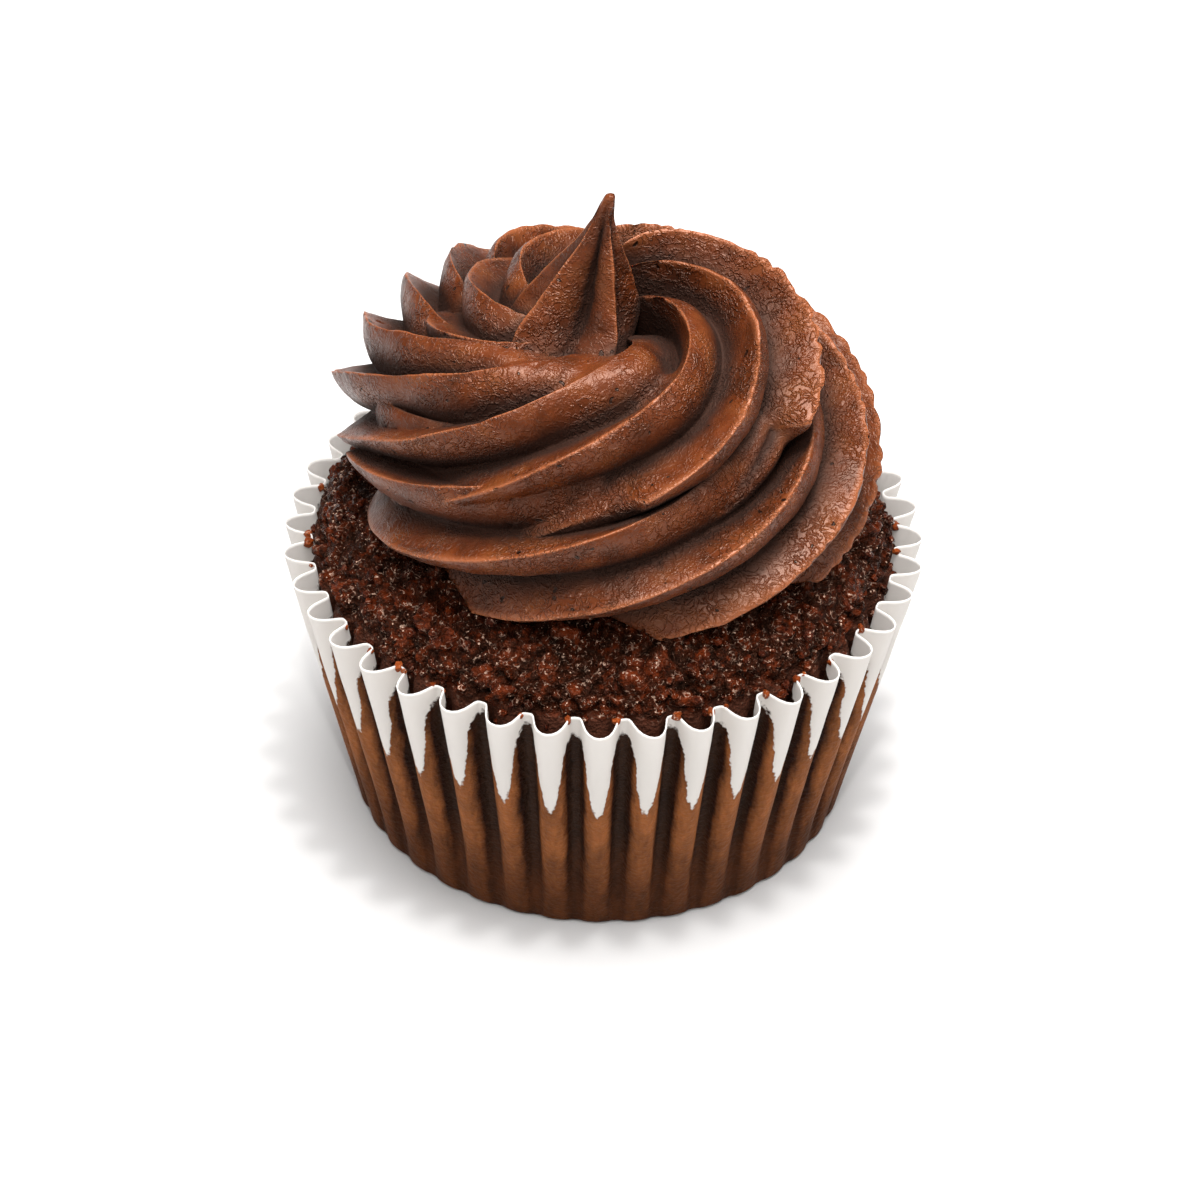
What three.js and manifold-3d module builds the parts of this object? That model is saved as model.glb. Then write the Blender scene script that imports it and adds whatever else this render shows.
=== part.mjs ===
// A chocolate cupcake in a pleated paper case, with a piped swirl of frosting.
// Millimetres, +Z up, origin at the centre of the base. The shown side faces -Y.
import * as THREE from "three";
import { mergeVertices } from "three/addons/utils/BufferGeometryUtils.js";
import Module from "manifold-3d";

const wasm = await Module();
wasm.setup();

const TURN = 2 * Math.PI;
const ORIGIN_AXIS = new THREE.Vector3(0, 0, 0);

// The paper case: a two inch muffin case with forty pleats.
const PLEATS = 40;
const POINTS_PER_PLEAT = 8;
const CASE_HEIGHT = 31.0;
const CASE_BASE_RADIUS = 25.4;
const CASE_RIM_RADIUS = 32.95;
const BASE_PLEAT_DEPTH = 1.1;
const RIM_PLEAT_DEPTH = 3.0;
const PLEAT_FULLNESS = 1.6;
const FOOT_RADIUS_LOSS = 1.5;
const FOOT_HEIGHT = 1.5;
const PAPER = 0.5;

// The cake fills the case to a little under the rim and domes above it.
const CLEARANCE = 0.3;
const CAKE_FLUTE_SHARE = 0.7;
const DOME_RADIUS = 30.3;
const DOME_FOOT = 27.0;
const DOME_HEIGHT = 12.0;
const DOME_ROUNDNESS = 0.5;
const FLUTE_FADE = 0.5;
const CRUMB_RELIEF = 0.35;

// The frosting is one rope from a star nozzle, laid anticlockwise as it climbs inwards.
const LOBES = 8;
const LOBE_HEADING = THREE.MathUtils.degToRad(3.6);
const ROPE_START = THREE.MathUtils.degToRad(190);
const ROPE_TURNS = 2.1;
const STATIONS_PER_TURN = 48;
const ROPE_FLATNESS = 0.98;
const VALLEY_PLACE = 0.62;
const BELLY_POWER = 1.4;
const WALL_POWER = 1.6;

// Along the rope, in turns from its start: path radius, height of its centre, its own radius and groove depth.
const PATH_RADIUS = [[0, 16.6], [0.15, 15.8], [0.4, 17], [0.7, 18.4], [1, 17.2], [1.2, 13.8], [1.45, 12.9],
  [1.7, 10.8], [1.9, 8.6], [2.1, 5]];
const PATH_HEIGHT = [[0, 42.4], [0.4, 42], [0.7, 42.9], [1, 44.8], [1.2, 47.2], [1.45, 48.6], [1.7, 48.7],
  [1.9, 48.4], [2.1, 47]];
const ROPE_RADIUS = [[0, 9.6], [0.15, 10.2], [0.4, 10.5], [1, 10.4], [1.45, 10.6], [1.7, 9.9], [1.9, 9.5],
  [2.1, 8.6]];
const GROOVE_DEPTH = [[0, 0.34], [1.6, 0.34], [2.1, 0.28]];
const DRIFT_X = [[0, 0], [1, -1.4], [2.1, -3.2]];
const DRIFT_Y = [[0, 0], [1, 0.6], [1.7, 1], [2.1, 0]];

// The last of the rope is lifted straight up: height, radius and groove depth of each level.
const CROWN_RADIUS = [[45, 10], [52, 10], [54.5, 9.2], [56.4, 7.6], [57.8, 6], [59.3, 4.6], [61.5, 3.5],
  [64, 2.6], [66.5, 1.75], [68.5, 1.15], [70.2, 0.75], [71.2, 0.5]];
const CROWN_GROOVES = [[45, 0.1], [54, 0.06], [57, 0.14], [60, 0.36], [67, 0.4], [70.2, 0.15], [71.2, 0]];
const CROWN_CENTRE_X = [[45, -4], [54, -4], [58.5, -1.2], [64, 0], [71.6, 0.4]];
const CROWN_CENTRE_Y = [[45, -2.5], [54, -2.5], [58.5, -0.6], [64, 0], [71.6, 0]];
const TIP_HEIGHT = 71.6;
const CORE_RADIUS = 15;
const CORE_TOP = 50;

// Smooth value of y at x through keys [x, y], never overshooting them.
function keyed(keys, x) {
  const last = keys.length - 1;
  if (x <= keys[0][0]) return keys[0][1];
  if (x >= keys[last][0]) return keys[last][1];
  const slopes = keys.slice(1).map((key, i) => (key[1] - keys[i][1]) / (key[0] - keys[i][0]));
  const tangent = (i) => {
    if (i === 0) return slopes[0];
    if (i === last) return slopes[last - 1];
    const product = slopes[i - 1] * slopes[i];
    return product <= 0 ? 0 : (2 * product) / (slopes[i - 1] + slopes[i]);
  };
  const i = keys.findIndex((key) => key[0] > x) - 1;
  const width = keys[i + 1][0] - keys[i][0];
  const u = (x - keys[i][0]) / width;
  const rise = (3 - 2 * u) * u * u;
  return keys[i][1] * (1 - rise) + keys[i + 1][1] * rise
    + width * u * (1 - u) * ((1 - u) * tangent(i) - u * tangent(i + 1));
}

// Triangles between two rings, where the first has the same count as the second or a multiple of it.
function stitch(triangles, outer, inner) {
  const ratio = outer.length / inner.length;
  inner.forEach((point, i) => {
    const next = inner[(i + 1) % inner.length];
    for (let k = 0; k < ratio; k += 1) {
      const a = outer[i * ratio + k];
      const b = outer[(i * ratio + k + 1) % outer.length];
      triangles.push(a, b, point);
    }
    triangles.push(outer[((i + 1) * ratio) % outer.length], next, point);
  });
}

// A closed mesh through rings that run anticlockwise from the bottom up, shut by a fan at each end.
function closedRings(rings, bottom, top) {
  const triangles = [];
  const first = rings[0];
  const end = rings[rings.length - 1];
  first.forEach((point, i) => triangles.push(bottom, first[(i + 1) % first.length], point));
  rings.slice(1).forEach((ring, i) => {
    const below = rings[i];
    if (below.length >= ring.length) stitch(triangles, below, ring);
    else throw new Error("rings must not gain points upwards");
  });
  end.forEach((point, i) => triangles.push(top, point, end[(i + 1) % end.length]));
  return new THREE.BufferGeometry().setFromPoints(triangles);
}

// The solid inside a closed mesh.
function solid(geometry) {
  const bare = geometry.index ? geometry.toNonIndexed() : geometry.clone();
  bare.deleteAttribute("normal");
  bare.deleteAttribute("uv");
  const merged = mergeVertices(bare, 1e-4);
  return new wasm.Manifold(new wasm.Mesh({
    numProp: 3,
    vertProperties: new Float32Array(merged.attributes.position.array),
    triVerts: new Uint32Array(merged.index.array),
  }));
}

// The surface of a solid's largest shell, which leaves out sealed hollows and loose scraps.
function surface(body) {
  const shells = body.decompose();
  const mesh = shells.reduce((best, shell) => (shell.volume() > best.volume() ? shell : best)).getMesh();
  const geometry = new THREE.BufferGeometry();
  geometry.setAttribute("position", new THREE.BufferAttribute(new Float32Array(mesh.vertProperties), 3));
  geometry.setIndex([...mesh.triVerts]);
  return geometry;
}

// Share of the pleat depth at an angle: 1 on an outer fold, 0 on an inner fold. Outer folds are the broader.
function pleatShare(angle) {
  return 1 - Math.abs(Math.sin((PLEATS * (angle + TURN / 4)) / 2)) ** PLEAT_FULLNESS;
}

// Radius of the inner folds on the outside of the paper, and the depth of the pleats, at a height.
function innerFoldRadius(z) {
  const share = z / CASE_HEIGHT;
  const base = CASE_BASE_RADIUS - BASE_PLEAT_DEPTH;
  return base + (CASE_RIM_RADIUS - RIM_PLEAT_DEPTH - base) * share;
}
const pleatDepth = (z) => BASE_PLEAT_DEPTH + ((RIM_PLEAT_DEPTH - BASE_PLEAT_DEPTH) * z) / CASE_HEIGHT;

// One ring of points, its radius a function of the angle.
function ring(count, z, radiusAt, heightAt = () => z) {
  return Array.from({ length: count }, (_, i) => {
    const angle = (TURN * i) / count;
    const radius = radiusAt(angle);
    return new THREE.Vector3(radius * Math.cos(angle), radius * Math.sin(angle), heightAt(angle));
  });
}

// The pleated wall, a shift inwards from the outside of the paper.
function caseRing(z, shift = 0, drawnIn = 0) {
  const depthShare = 1 - drawnIn / (2 * FOOT_RADIUS_LOSS);
  return ring(PLEATS * POINTS_PER_PLEAT, z, (angle) =>
    innerFoldRadius(z) + pleatDepth(z) * depthShare * pleatShare(angle) - shift - drawnIn);
}

function paperCase() {
  const rings = [
    caseRing(0, 0, FOOT_RADIUS_LOSS),
    caseRing(FOOT_HEIGHT / 3, 0, FOOT_RADIUS_LOSS / 3),
    caseRing(FOOT_HEIGHT),
    caseRing(CASE_HEIGHT),
    caseRing(CASE_HEIGHT, PAPER),
    caseRing(FOOT_HEIGHT, PAPER),
    caseRing(PAPER, PAPER, FOOT_RADIUS_LOSS),
  ];
  return closedRings(rings, ORIGIN_AXIS, new THREE.Vector3(0, 0, PAPER));
}

// Shallow crumb bumps, made of waves that never line up.
function crumb(angle, level) {
  return CRUMB_RELIEF * (Math.sin(17 * angle + 5 * level) + Math.sin(29 * angle - 11 * level)
    + Math.sin(41 * angle + 17 * level)) / 3;
}

// Radius of the dome at an elevation, where 0 is its foot and a quarter turn its top.
const domeRadius = (elevation) => DOME_RADIUS * Math.cos(elevation) ** DOME_ROUNDNESS;
const domeHeight = (elevation) => DOME_FOOT + DOME_HEIGHT * Math.sin(elevation);

// The fluted side stands inside the pleats, and the flutes fade out over the shoulder of the dome.
function cake() {
  const count = PLEATS * POINTS_PER_PLEAT;
  const floor = PAPER + CLEARANCE;
  const sideRadius = (z, drawnIn) => (angle) => innerFoldRadius(z) - PAPER - CLEARANCE - drawnIn
    + CAKE_FLUTE_SHARE * pleatDepth(z) * pleatShare(angle);
  const rings = [
    ring(count, floor, sideRadius(floor, FOOT_RADIUS_LOSS)),
    ring(count, FOOT_HEIGHT + CLEARANCE, sideRadius(FOOT_HEIGHT, CLEARANCE)),
  ];
  const fluteDepth = CAKE_FLUTE_SHARE * pleatDepth(DOME_FOOT);
  const levels = [[0, 1], [0.17, 2], [0.36, 4], [0.56, 4], [0.78, 4], [1.02, 8], [1.3, 8]];
  levels.forEach(([elevation, thinning]) => {
    const fade = Math.max(0, 1 - elevation / FLUTE_FADE);
    const radiusAt = (angle) => domeRadius(elevation) - fluteDepth * fade * (1 - pleatShare(angle));
    const relief = elevation > 0.1 ? 1 : 0;
    rings.push(ring(count / thinning, 0, (angle) => radiusAt(angle) + relief * crumb(angle, elevation),
      (angle) => domeHeight(elevation) + relief * crumb(angle + 1, elevation)));
  });
  return closedRings(rings, new THREE.Vector3(0, 0, floor), new THREE.Vector3(0, 0, DOME_FOOT + DOME_HEIGHT));
}

// The star section: 1 on a lobe's sharp ridge, less down its belly to the valley and up the steep wall behind.
function starRadius(place, depth) {
  if (place < VALLEY_PLACE) return 1 - depth * (place / VALLEY_PLACE) ** BELLY_POWER;
  return 1 - depth * (1 - ((place - VALLEY_PLACE) / (1 - VALLEY_PLACE)) ** WALL_POWER);
}

// Angles of the section's points, each with its place between two ridges.
const STAR_POINTS = Array.from({ length: LOBES }, (_, lobe) => [0, 0.2, 0.42, VALLEY_PLACE, 0.84]
  .map((place) => ({ angle: (-TURN * (lobe + place)) / LOBES, place }))).flat();

// One section of the laid rope. The lobes keep their compass headings, as the nozzle doesn't turn.
function ropeSection(turns) {
  const heading = ROPE_START + TURN * turns;
  const pathRadius = keyed(PATH_RADIUS, turns);
  const ropeRadius = keyed(ROPE_RADIUS, turns);
  const depth = keyed(GROOVE_DEPTH, turns);
  const driftX = keyed(DRIFT_X, turns);
  const driftY = keyed(DRIFT_Y, turns);
  const centreHeight = keyed(PATH_HEIGHT, turns);
  return STAR_POINTS.map(({ angle, place }) => {
    const around = heading - LOBE_HEADING + angle;
    const reach = ropeRadius * starRadius(place, depth);
    const outwards = Math.max(0.2, pathRadius + reach * Math.cos(around));
    return new THREE.Vector3(driftX + outwards * Math.cos(heading), driftY + outwards * Math.sin(heading),
      centreHeight + ROPE_FLATNESS * reach * Math.sin(around));
  });
}

// A stretch of the rope as a closed solid, short enough not to meet itself.
function ropeStretch(from, to) {
  const steps = Math.max(2, Math.round((to - from) * STATIONS_PER_TURN));
  const rings = Array.from({ length: steps + 1 }, (_, i) => ropeSection(from + ((to - from) * i) / steps));
  const middle = (points) => points.reduce((sum, point) => sum.add(point), new THREE.Vector3())
    .divideScalar(points.length);
  return solid(closedRings(rings, middle(rings[0]), middle(rings[steps])));
}

// The smooth middle and the grooved peak drawn up from it.
function crown() {
  const levels = CROWN_RADIUS.map(([height]) => height);
  const rings = levels.map((height) => {
    const depth = keyed(CROWN_GROOVES, height);
    const radius = keyed(CROWN_RADIUS, height);
    return STAR_POINTS.map(({ angle, place }) => {
      const reach = radius * starRadius(place, depth);
      const compass = LOBE_HEADING - angle;
      return new THREE.Vector3(keyed(CROWN_CENTRE_X, height) + reach * Math.cos(compass),
        keyed(CROWN_CENTRE_Y, height) + reach * Math.sin(compass), height);
    });
  });
  const foot = new THREE.Vector3(keyed(CROWN_CENTRE_X, 0), keyed(CROWN_CENTRE_Y, 0), levels[0]);
  const tip = new THREE.Vector3(keyed(CROWN_CENTRE_X, TIP_HEIGHT), 0, TIP_HEIGHT);
  return solid(closedRings(rings, foot, tip));
}

// A turned solid from its half outline, which starts and ends on the axis.
function turned(outline, segments) {
  const points = outline.map(([radius, height]) => new THREE.Vector2(radius, height));
  return solid(new THREE.LatheGeometry(points, segments).rotateX(Math.PI / 2));
}

function frosting() {
  const stretches = 8;
  let body = turned([[0, DOME_FOOT], [CORE_RADIUS, DOME_FOOT], [CORE_RADIUS, CORE_TOP - 6],
    [CORE_RADIUS / 2, CORE_TOP], [0, CORE_TOP]], 16);
  for (let i = 0; i < stretches; i += 1) {
    body = body.add(ropeStretch((ROPE_TURNS * i) / stretches, (ROPE_TURNS * (i + 1)) / stretches));
  }
  body = body.add(crown());
  const elevations = [0, 0.17, 0.36, 0.56, 0.78, 1.02, 1.3];
  const dome = elevations.map((elevation) => [domeRadius(elevation) + 2 * CLEARANCE,
    domeHeight(elevation) + 2 * CLEARANCE]);
  return surface(body.subtract(turned([[0, 0], [DOME_RADIUS + 2 * CLEARANCE, 0], ...dome,
    [0, DOME_FOOT + DOME_HEIGHT + 2 * CLEARANCE]], 48)));
}

// A named mesh with its own colour.
function mesh(name, geometry, colour, roughness) {
  const made = new THREE.Mesh(geometry, new THREE.MeshStandardMaterial({ color: colour, roughness, metalness: 0 }));
  made.name = name;
  return made;
}

const cupcake = new THREE.Group();
cupcake.add(
  mesh("paper_case", paperCase(), 0xece6e0, 0.8),
  mesh("cake", cake(), 0x2e130c, 0.6),
  mesh("frosting", frosting(), 0x6b3a24, 0.45),
);

export default cupcake;
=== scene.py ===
"""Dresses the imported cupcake: a pleated paper case, a chocolate sponge and a piped buttercream swirl.

The classes hold their sizes in millimetres, and mesh_piece() turns them to metres. Three pieces each
replace the CAD node whose form they repeat, and two more are loose crumbs. All share one frame: origin
under the middle of the foot, +Z up and -Y towards the side that the camera sees.
"""

import logging
import math
from dataclasses import dataclass
from enum import Enum
from typing import Sequence

import bpy
import numpy as np
from mathutils import Matrix, Vector
from mathutils.bvhtree import BVHTree
from mathutils.kdtree import KDTree

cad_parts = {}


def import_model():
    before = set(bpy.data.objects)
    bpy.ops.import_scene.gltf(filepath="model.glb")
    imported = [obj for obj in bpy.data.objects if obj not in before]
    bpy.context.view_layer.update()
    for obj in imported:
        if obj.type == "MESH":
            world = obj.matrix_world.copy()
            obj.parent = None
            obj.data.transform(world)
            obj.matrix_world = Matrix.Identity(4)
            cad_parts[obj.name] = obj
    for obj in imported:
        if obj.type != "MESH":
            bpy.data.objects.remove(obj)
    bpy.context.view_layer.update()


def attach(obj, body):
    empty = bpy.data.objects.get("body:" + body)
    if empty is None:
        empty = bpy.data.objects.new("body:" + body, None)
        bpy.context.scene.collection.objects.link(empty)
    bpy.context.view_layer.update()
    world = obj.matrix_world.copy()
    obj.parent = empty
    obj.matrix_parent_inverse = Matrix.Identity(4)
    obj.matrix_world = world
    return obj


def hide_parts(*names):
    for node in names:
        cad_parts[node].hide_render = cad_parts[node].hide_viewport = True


MM = 0.001
TURN = 2 * math.pi
BODY = "root"
LOG = logging.getLogger("cupcake")
GOLDEN_ANGLE = 2.399963  # radians, which spreads directions evenly round a turn

# Large odd numbers that make neighbouring cells of a noise's lattice unlike each other.
LATTICE_STEPS = (374761393, 668265263, 2147483629)
STIR = 1274126177
STIR_AGAIN = 2246822519
LOW_BITS = 0xFFFFFFFF

Keys = Sequence[tuple[float, float]]


class Part(Enum):
    """The solids of the cupcake that the pieces stand for, by their names in the model."""

    CASE = "paper_case"
    CAKE = "cake"
    FROSTING = "frosting"


# Colour, curves and noise


def linear(hex_colour: str) -> tuple[float, float, float, float]:
    """Turns an sRGB colour into the linear light that the shaders work in.

    Args:
        hex_colour: The colour as six hex digits after a hash sign.

    Returns:
        Red, green, blue and an alpha of 1.
    """
    channels = [int(hex_colour[i:i + 2], 16) / 255 for i in (1, 3, 5)]
    red, green, blue = (c / 12.92 if c <= 0.04045 else ((c + 0.055) / 1.055) ** 2.4 for c in channels)
    return (red, green, blue, 1.0)


def keyed(keys: Keys, x: np.ndarray) -> np.ndarray:
    """Runs a smooth curve through keys without swinging past them.

    Args:
        keys: Pairs of place and value, in rising order of place.
        x: Where the curve is read.

    Returns:
        The value at each place.
    """
    places, values = np.array(keys, float).T
    widths = np.diff(places)
    slopes = np.diff(values) / widths
    tangents = np.zeros_like(values)
    tangents[0], tangents[-1] = slopes[0], slopes[-1]
    same_way = slopes[:-1] * slopes[1:] > 0
    tangents[1:-1][same_way] = (2 * slopes[:-1] * slopes[1:] / (slopes[:-1] + slopes[1:] + 1e-12))[same_way]
    x = np.clip(x, places[0], places[-1])
    i = np.clip(np.searchsorted(places, x) - 1, 0, len(widths) - 1)
    s = (x - places[i]) / widths[i]
    rise = (values[i + 1] - values[i]) * s * s * (3 - 2 * s)
    lean = widths[i] * s * (1 - s) * (tangents[i] * (1 - s) - tangents[i + 1] * s)
    return values[i] + rise + lean


def ramp(low: float, high: float, x: np.ndarray) -> np.ndarray:
    """Rises smoothly from 0 at low to 1 at high."""
    s = np.clip((x - low) / (high - low), 0, 1)
    return s * s * (3 - 2 * s)


def hashed(corners: np.ndarray, seed: int) -> np.ndarray:
    """Gives each corner of a lattice one number between 0 and 1, always the same one.

    Args:
        corners: Whole-number places, one row each.
        seed: Picks another set of numbers.

    Returns:
        One number for each row.
    """
    whole = corners.astype(np.int64)
    mixed = sum(whole[..., axis] * step for axis, step in enumerate(LATTICE_STEPS)) + seed * STIR
    mixed &= LOW_BITS
    mixed = ((mixed ^ (mixed >> 13)) * STIR) & LOW_BITS
    mixed = ((mixed ^ (mixed >> 15)) * STIR_AGAIN) & LOW_BITS
    return (mixed ^ (mixed >> 16)) / float(1 << 32)


def wavering(points: np.ndarray, size: float, seed: int) -> np.ndarray:
    """Smooth noise about 0, mostly within 0.7 either way.

    Args:
        points: Places in millimetres, one row each.
        size: How far apart its humps are, in millimetres.
        seed: Picks another pattern.

    Returns:
        One number for each point.
    """
    scaled = points / size
    base = np.floor(scaled)
    part = scaled - base
    ease = part * part * part * (part * (part * 6 - 15) + 10)
    total = np.zeros(len(points))
    for corner in np.ndindex(2, 2, 2):
        cell = base + corner
        away = part - corner
        lean = sum((hashed(cell, seed + 31 * axis) * 2 - 1) * away[:, axis] for axis in range(3))
        share = np.prod(np.where(np.array(corner) == 1, ease, 1 - ease), axis=1)
        total += share * lean
    return total * 1.6


def swayed(points: np.ndarray, size: float, seed: int, by: float) -> np.ndarray:
    """Shifts points this way and that by smooth noise.

    Args:
        points: Places in millimetres, one row each.
        size: How far apart the noise's humps are, in millimetres.
        seed: Picks another pattern.
        by: About the furthest that a point goes, in millimetres.

    Returns:
        The shifted points.
    """
    return points + np.stack([wavering(points, size, seed + axis) for axis in range(3)], axis=1) * by


def cells(points: np.ndarray, size: float, seed: int) -> tuple[np.ndarray, np.ndarray, np.ndarray]:
    """Splits space into irregular cells, as a crumb does.

    Args:
        points: Places in millimetres, one row each.
        size: The width of a cell in millimetres.
        seed: Picks another pattern.

    Returns:
        For each point the distance to the nearest cell's middle and to the next one, both as a share of
        size, and a number between 0 and 1 that belongs to the nearest cell.
    """
    scaled = points / size
    base = np.floor(scaled)
    nearest = np.full(len(points), 9.0)
    second = np.full(len(points), 9.0)
    owner = np.zeros(len(points))
    for step in np.ndindex(3, 3, 3):
        cell = base + np.array(step) - 1
        middle = cell + np.stack([hashed(cell, seed + 17 * axis) for axis in range(3)], axis=1)
        distance = np.linalg.norm(scaled - middle, axis=1)
        closer = distance < nearest
        second = np.where(closer, nearest, np.minimum(second, distance))
        owner = np.where(closer, hashed(cell, seed + 97), owner)
        nearest = np.where(closer, distance, nearest)
    return nearest, second, owner


# Meshes


def ring_at(angle: np.ndarray, radius: np.ndarray | float, height: np.ndarray | float) -> np.ndarray:
    """Gives points round the axis in millimetres, one row for each angle."""
    return np.stack(np.broadcast_arrays(radius * np.cos(angle), radius * np.sin(angle), height), axis=1)


def grid_faces(rings: int, around: int) -> np.ndarray:
    """Joins closed rings of points one after another.

    Args:
        rings: How many rings there are.
        around: How many points each ring has.

    Returns:
        Four corners for each face, outward when the rings run counterclockwise and rise.
    """
    ring, i = np.meshgrid(np.arange(rings - 1), np.arange(around), indexing="ij")
    low = (ring * around + i).ravel()
    low_next = (ring * around + (i + 1) % around).ravel()
    return np.stack([low, low_next, low_next + around, low + around], axis=1)


def fan_faces(hub: int, first: int, around: int, upward: bool) -> np.ndarray:
    """Closes a ring of points onto one point.

    Args:
        hub: The number of the point that they all meet.
        first: The number of the ring's first point.
        around: How many points the ring has.
        upward: Whether the faces look the way that the rings rise.

    Returns:
        Three corners for each face.
    """
    i = np.arange(around)
    here, after = first + i, first + (i + 1) % around
    pair = (here, after) if upward else (after, here)
    return np.stack([*pair, np.full(around, hub)], axis=1)


def closed_rings(rings: Sequence[np.ndarray], start: Sequence[float],
                 end: Sequence[float]) -> tuple[np.ndarray, list]:
    """Makes a closed surface of a stack of rings and a middle point at both ends.

    Args:
        rings: Rings of equally many points, counterclockwise as they rise.
        start: The point that closes the first ring.
        end: The point that closes the last ring.

    Returns:
        The points and the faces.
    """
    around, count = len(rings[0]), len(rings)
    points = np.concatenate([*rings, [start], [end]])
    hub = count * around
    faces = grid_faces(count, around).tolist()
    faces += fan_faces(hub, 0, around, False).tolist()
    faces += fan_faces(hub + 1, hub - around, around, True).tolist()
    return points, faces


def mesh_piece(name: str, points: np.ndarray, faces: list,
               material: bpy.types.Material | None = None) -> bpy.types.Object:
    """Makes a smooth mesh object out of points in millimetres.

    Args:
        name: The object's name.
        points: One row of three numbers for each point.
        faces: The numbers of each face's corners.
        material: Its finish, or None for a piece that is only cut or joined with.

    Returns:
        The new object, in the scene.
    """
    mesh = bpy.data.meshes.new(name)
    mesh.from_pydata((points * MM).tolist(), [], faces)
    mesh.shade_smooth()
    piece = bpy.data.objects.new(name, mesh)
    bpy.context.scene.collection.objects.link(piece)
    if material is not None:
        mesh.materials.append(material)
    return piece


def points_of(piece: bpy.types.Object) -> np.ndarray:
    """Reads a piece's points in millimetres."""
    flat = np.empty(len(piece.data.vertices) * 3)
    piece.data.vertices.foreach_get("co", flat)
    return flat.reshape(-1, 3) / MM


def normals_of(piece: bpy.types.Object) -> np.ndarray:
    """Reads which way a piece's surface faces at each of its points."""
    flat = np.empty(len(piece.data.vertices) * 3)
    piece.data.vertex_normals.foreach_get("vector", flat)
    return flat.reshape(-1, 3)


def move_points(piece: bpy.types.Object, points: np.ndarray) -> None:
    """Puts a piece's points at new places, in millimetres."""
    piece.data.vertices.foreach_set("co", (points * MM).ravel())
    piece.data.update()


def edge_ends(piece: bpy.types.Object) -> np.ndarray:
    """Reads the numbers of the two points that each edge of a piece joins."""
    flat = np.empty(len(piece.data.edges) * 2, int)
    piece.data.edges.foreach_get("vertices", flat)
    return flat.reshape(-1, 2)


def smoothed(piece: bpy.types.Object, values: np.ndarray, rounds: int) -> np.ndarray:
    """Averages one number for each point of a piece with its neighbours', several times over.

    Args:
        piece: The piece.
        values: One number for each of its points.
        rounds: How often they are averaged.

    Returns:
        The averaged numbers.
    """
    ends = edge_ends(piece)
    count = 1 + np.bincount(ends.ravel(), minlength=len(values))
    for _ in range(rounds):
        total = values + np.bincount(ends[:, 0], values[ends[:, 1]], len(values))
        total += np.bincount(ends[:, 1], values[ends[:, 0]], len(values))
        values = total / count
    return values


def enclosed(piece: bpy.types.Object, reach: float, rays: int, seed: int) -> np.ndarray:
    """Measures how deep in a crease each point of a piece lies, which the finishes paint as shade.

    Args:
        piece: The piece.
        reach: How far off another surface still counts, in millimetres.
        rays: How many ways each point looks.
        seed: Picks another set of ways.

    Returns:
        For each point, from 0 in the open to 1 where it is shut in all round.
    """
    points, normals = points_of(piece), normals_of(piece)
    tree = BVHTree.FromPolygons(points.tolist(), [tuple(face.vertices) for face in piece.data.polygons])
    rng = np.random.default_rng(seed)
    lift = np.sqrt((np.arange(rays) + 0.5) / rays)
    shut_in = np.zeros(len(points))
    aside = np.cross(normals, np.where(np.abs(normals[:, 2:]) < 0.9, (0.0, 0.0, 1.0), (1.0, 0.0, 0.0)))
    aside /= np.linalg.norm(aside, axis=1, keepdims=True) + 1e-12
    across = np.cross(normals, aside)
    turn = rng.uniform(0, TURN, len(points))
    off_surface = 0.08  # mm, so that no ray meets the face that it starts from
    starts = points + normals * off_surface
    for k in range(rays):
        angle = (turn + GOLDEN_ANGLE * k)[:, None]
        flat = math.sqrt(1 - lift[k] ** 2)
        ways = normals * lift[k] + (aside * np.cos(angle) + across * np.sin(angle)) * flat
        found = [tree.ray_cast(start, way, reach)[3] for start, way in zip(starts.tolist(), ways.tolist())]
        shut_in += np.array([0.0 if distance is None else 1 - distance / reach for distance in found])
    return smoothed(piece, shut_in / rays, 3)


def mark(piece: bpy.types.Object, name: str, values: np.ndarray) -> None:
    """Keeps one number for each point of a piece, for its finish to read by name."""
    layer = piece.data.attributes.new(name, "FLOAT", "POINT")
    layer.data.foreach_set("value", values.astype(np.float32))


def place(piece: bpy.types.Object, part: Part, replaces: bool) -> None:
    """Hangs a finished piece on the cupcake's body and reports it.

    Args:
        piece: The piece, already in its place.
        part: The solid that it stands for, which is hidden when it replaces it.
        replaces: Whether it stands for that solid.
    """
    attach(piece, BODY)
    if replaces:
        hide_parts(part.value)
    triangles = sum(len(face.vertices) - 2 for face in piece.data.polygons)
    LOG.info("%s: %d triangles", piece.name, triangles)


# Finishes


def add_node(tree: bpy.types.NodeTree, kind: str, settings: dict | None = None,
             links: dict | None = None) -> bpy.types.Node:
    """Adds a node, sets it up and feeds it.

    Args:
        tree: The material's tree.
        kind: The node's type, without the words that every shader node's type starts with.
        settings: Values for its properties, or for its inputs where the name or number is one of theirs.
        links: What feeds each input, by the input's name or number: a socket, or a node whose first
            output is meant.

    Returns:
        The node.
    """
    node = tree.nodes.new("ShaderNode" + kind)
    for name, value in (settings or {}).items():
        if isinstance(name, str) and hasattr(node, name):
            setattr(node, name, value)
        else:
            node.inputs[name].default_value = value
    for name, source in (links or {}).items():
        socket = source.outputs[0] if isinstance(source, bpy.types.Node) else source
        tree.links.new(socket, node.inputs[name])
    return node


def new_material(name: str) -> tuple[bpy.types.Material, bpy.types.NodeTree, bpy.types.Node]:
    """Starts a material with an empty tree and its output.

    Args:
        name: The material's name.

    Returns:
        The material, its tree and its output node.
    """
    material = bpy.data.materials.new(name)
    material.use_nodes = True
    material.node_tree.nodes.clear()
    return material, material.node_tree, add_node(material.node_tree, "OutputMaterial")


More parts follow.
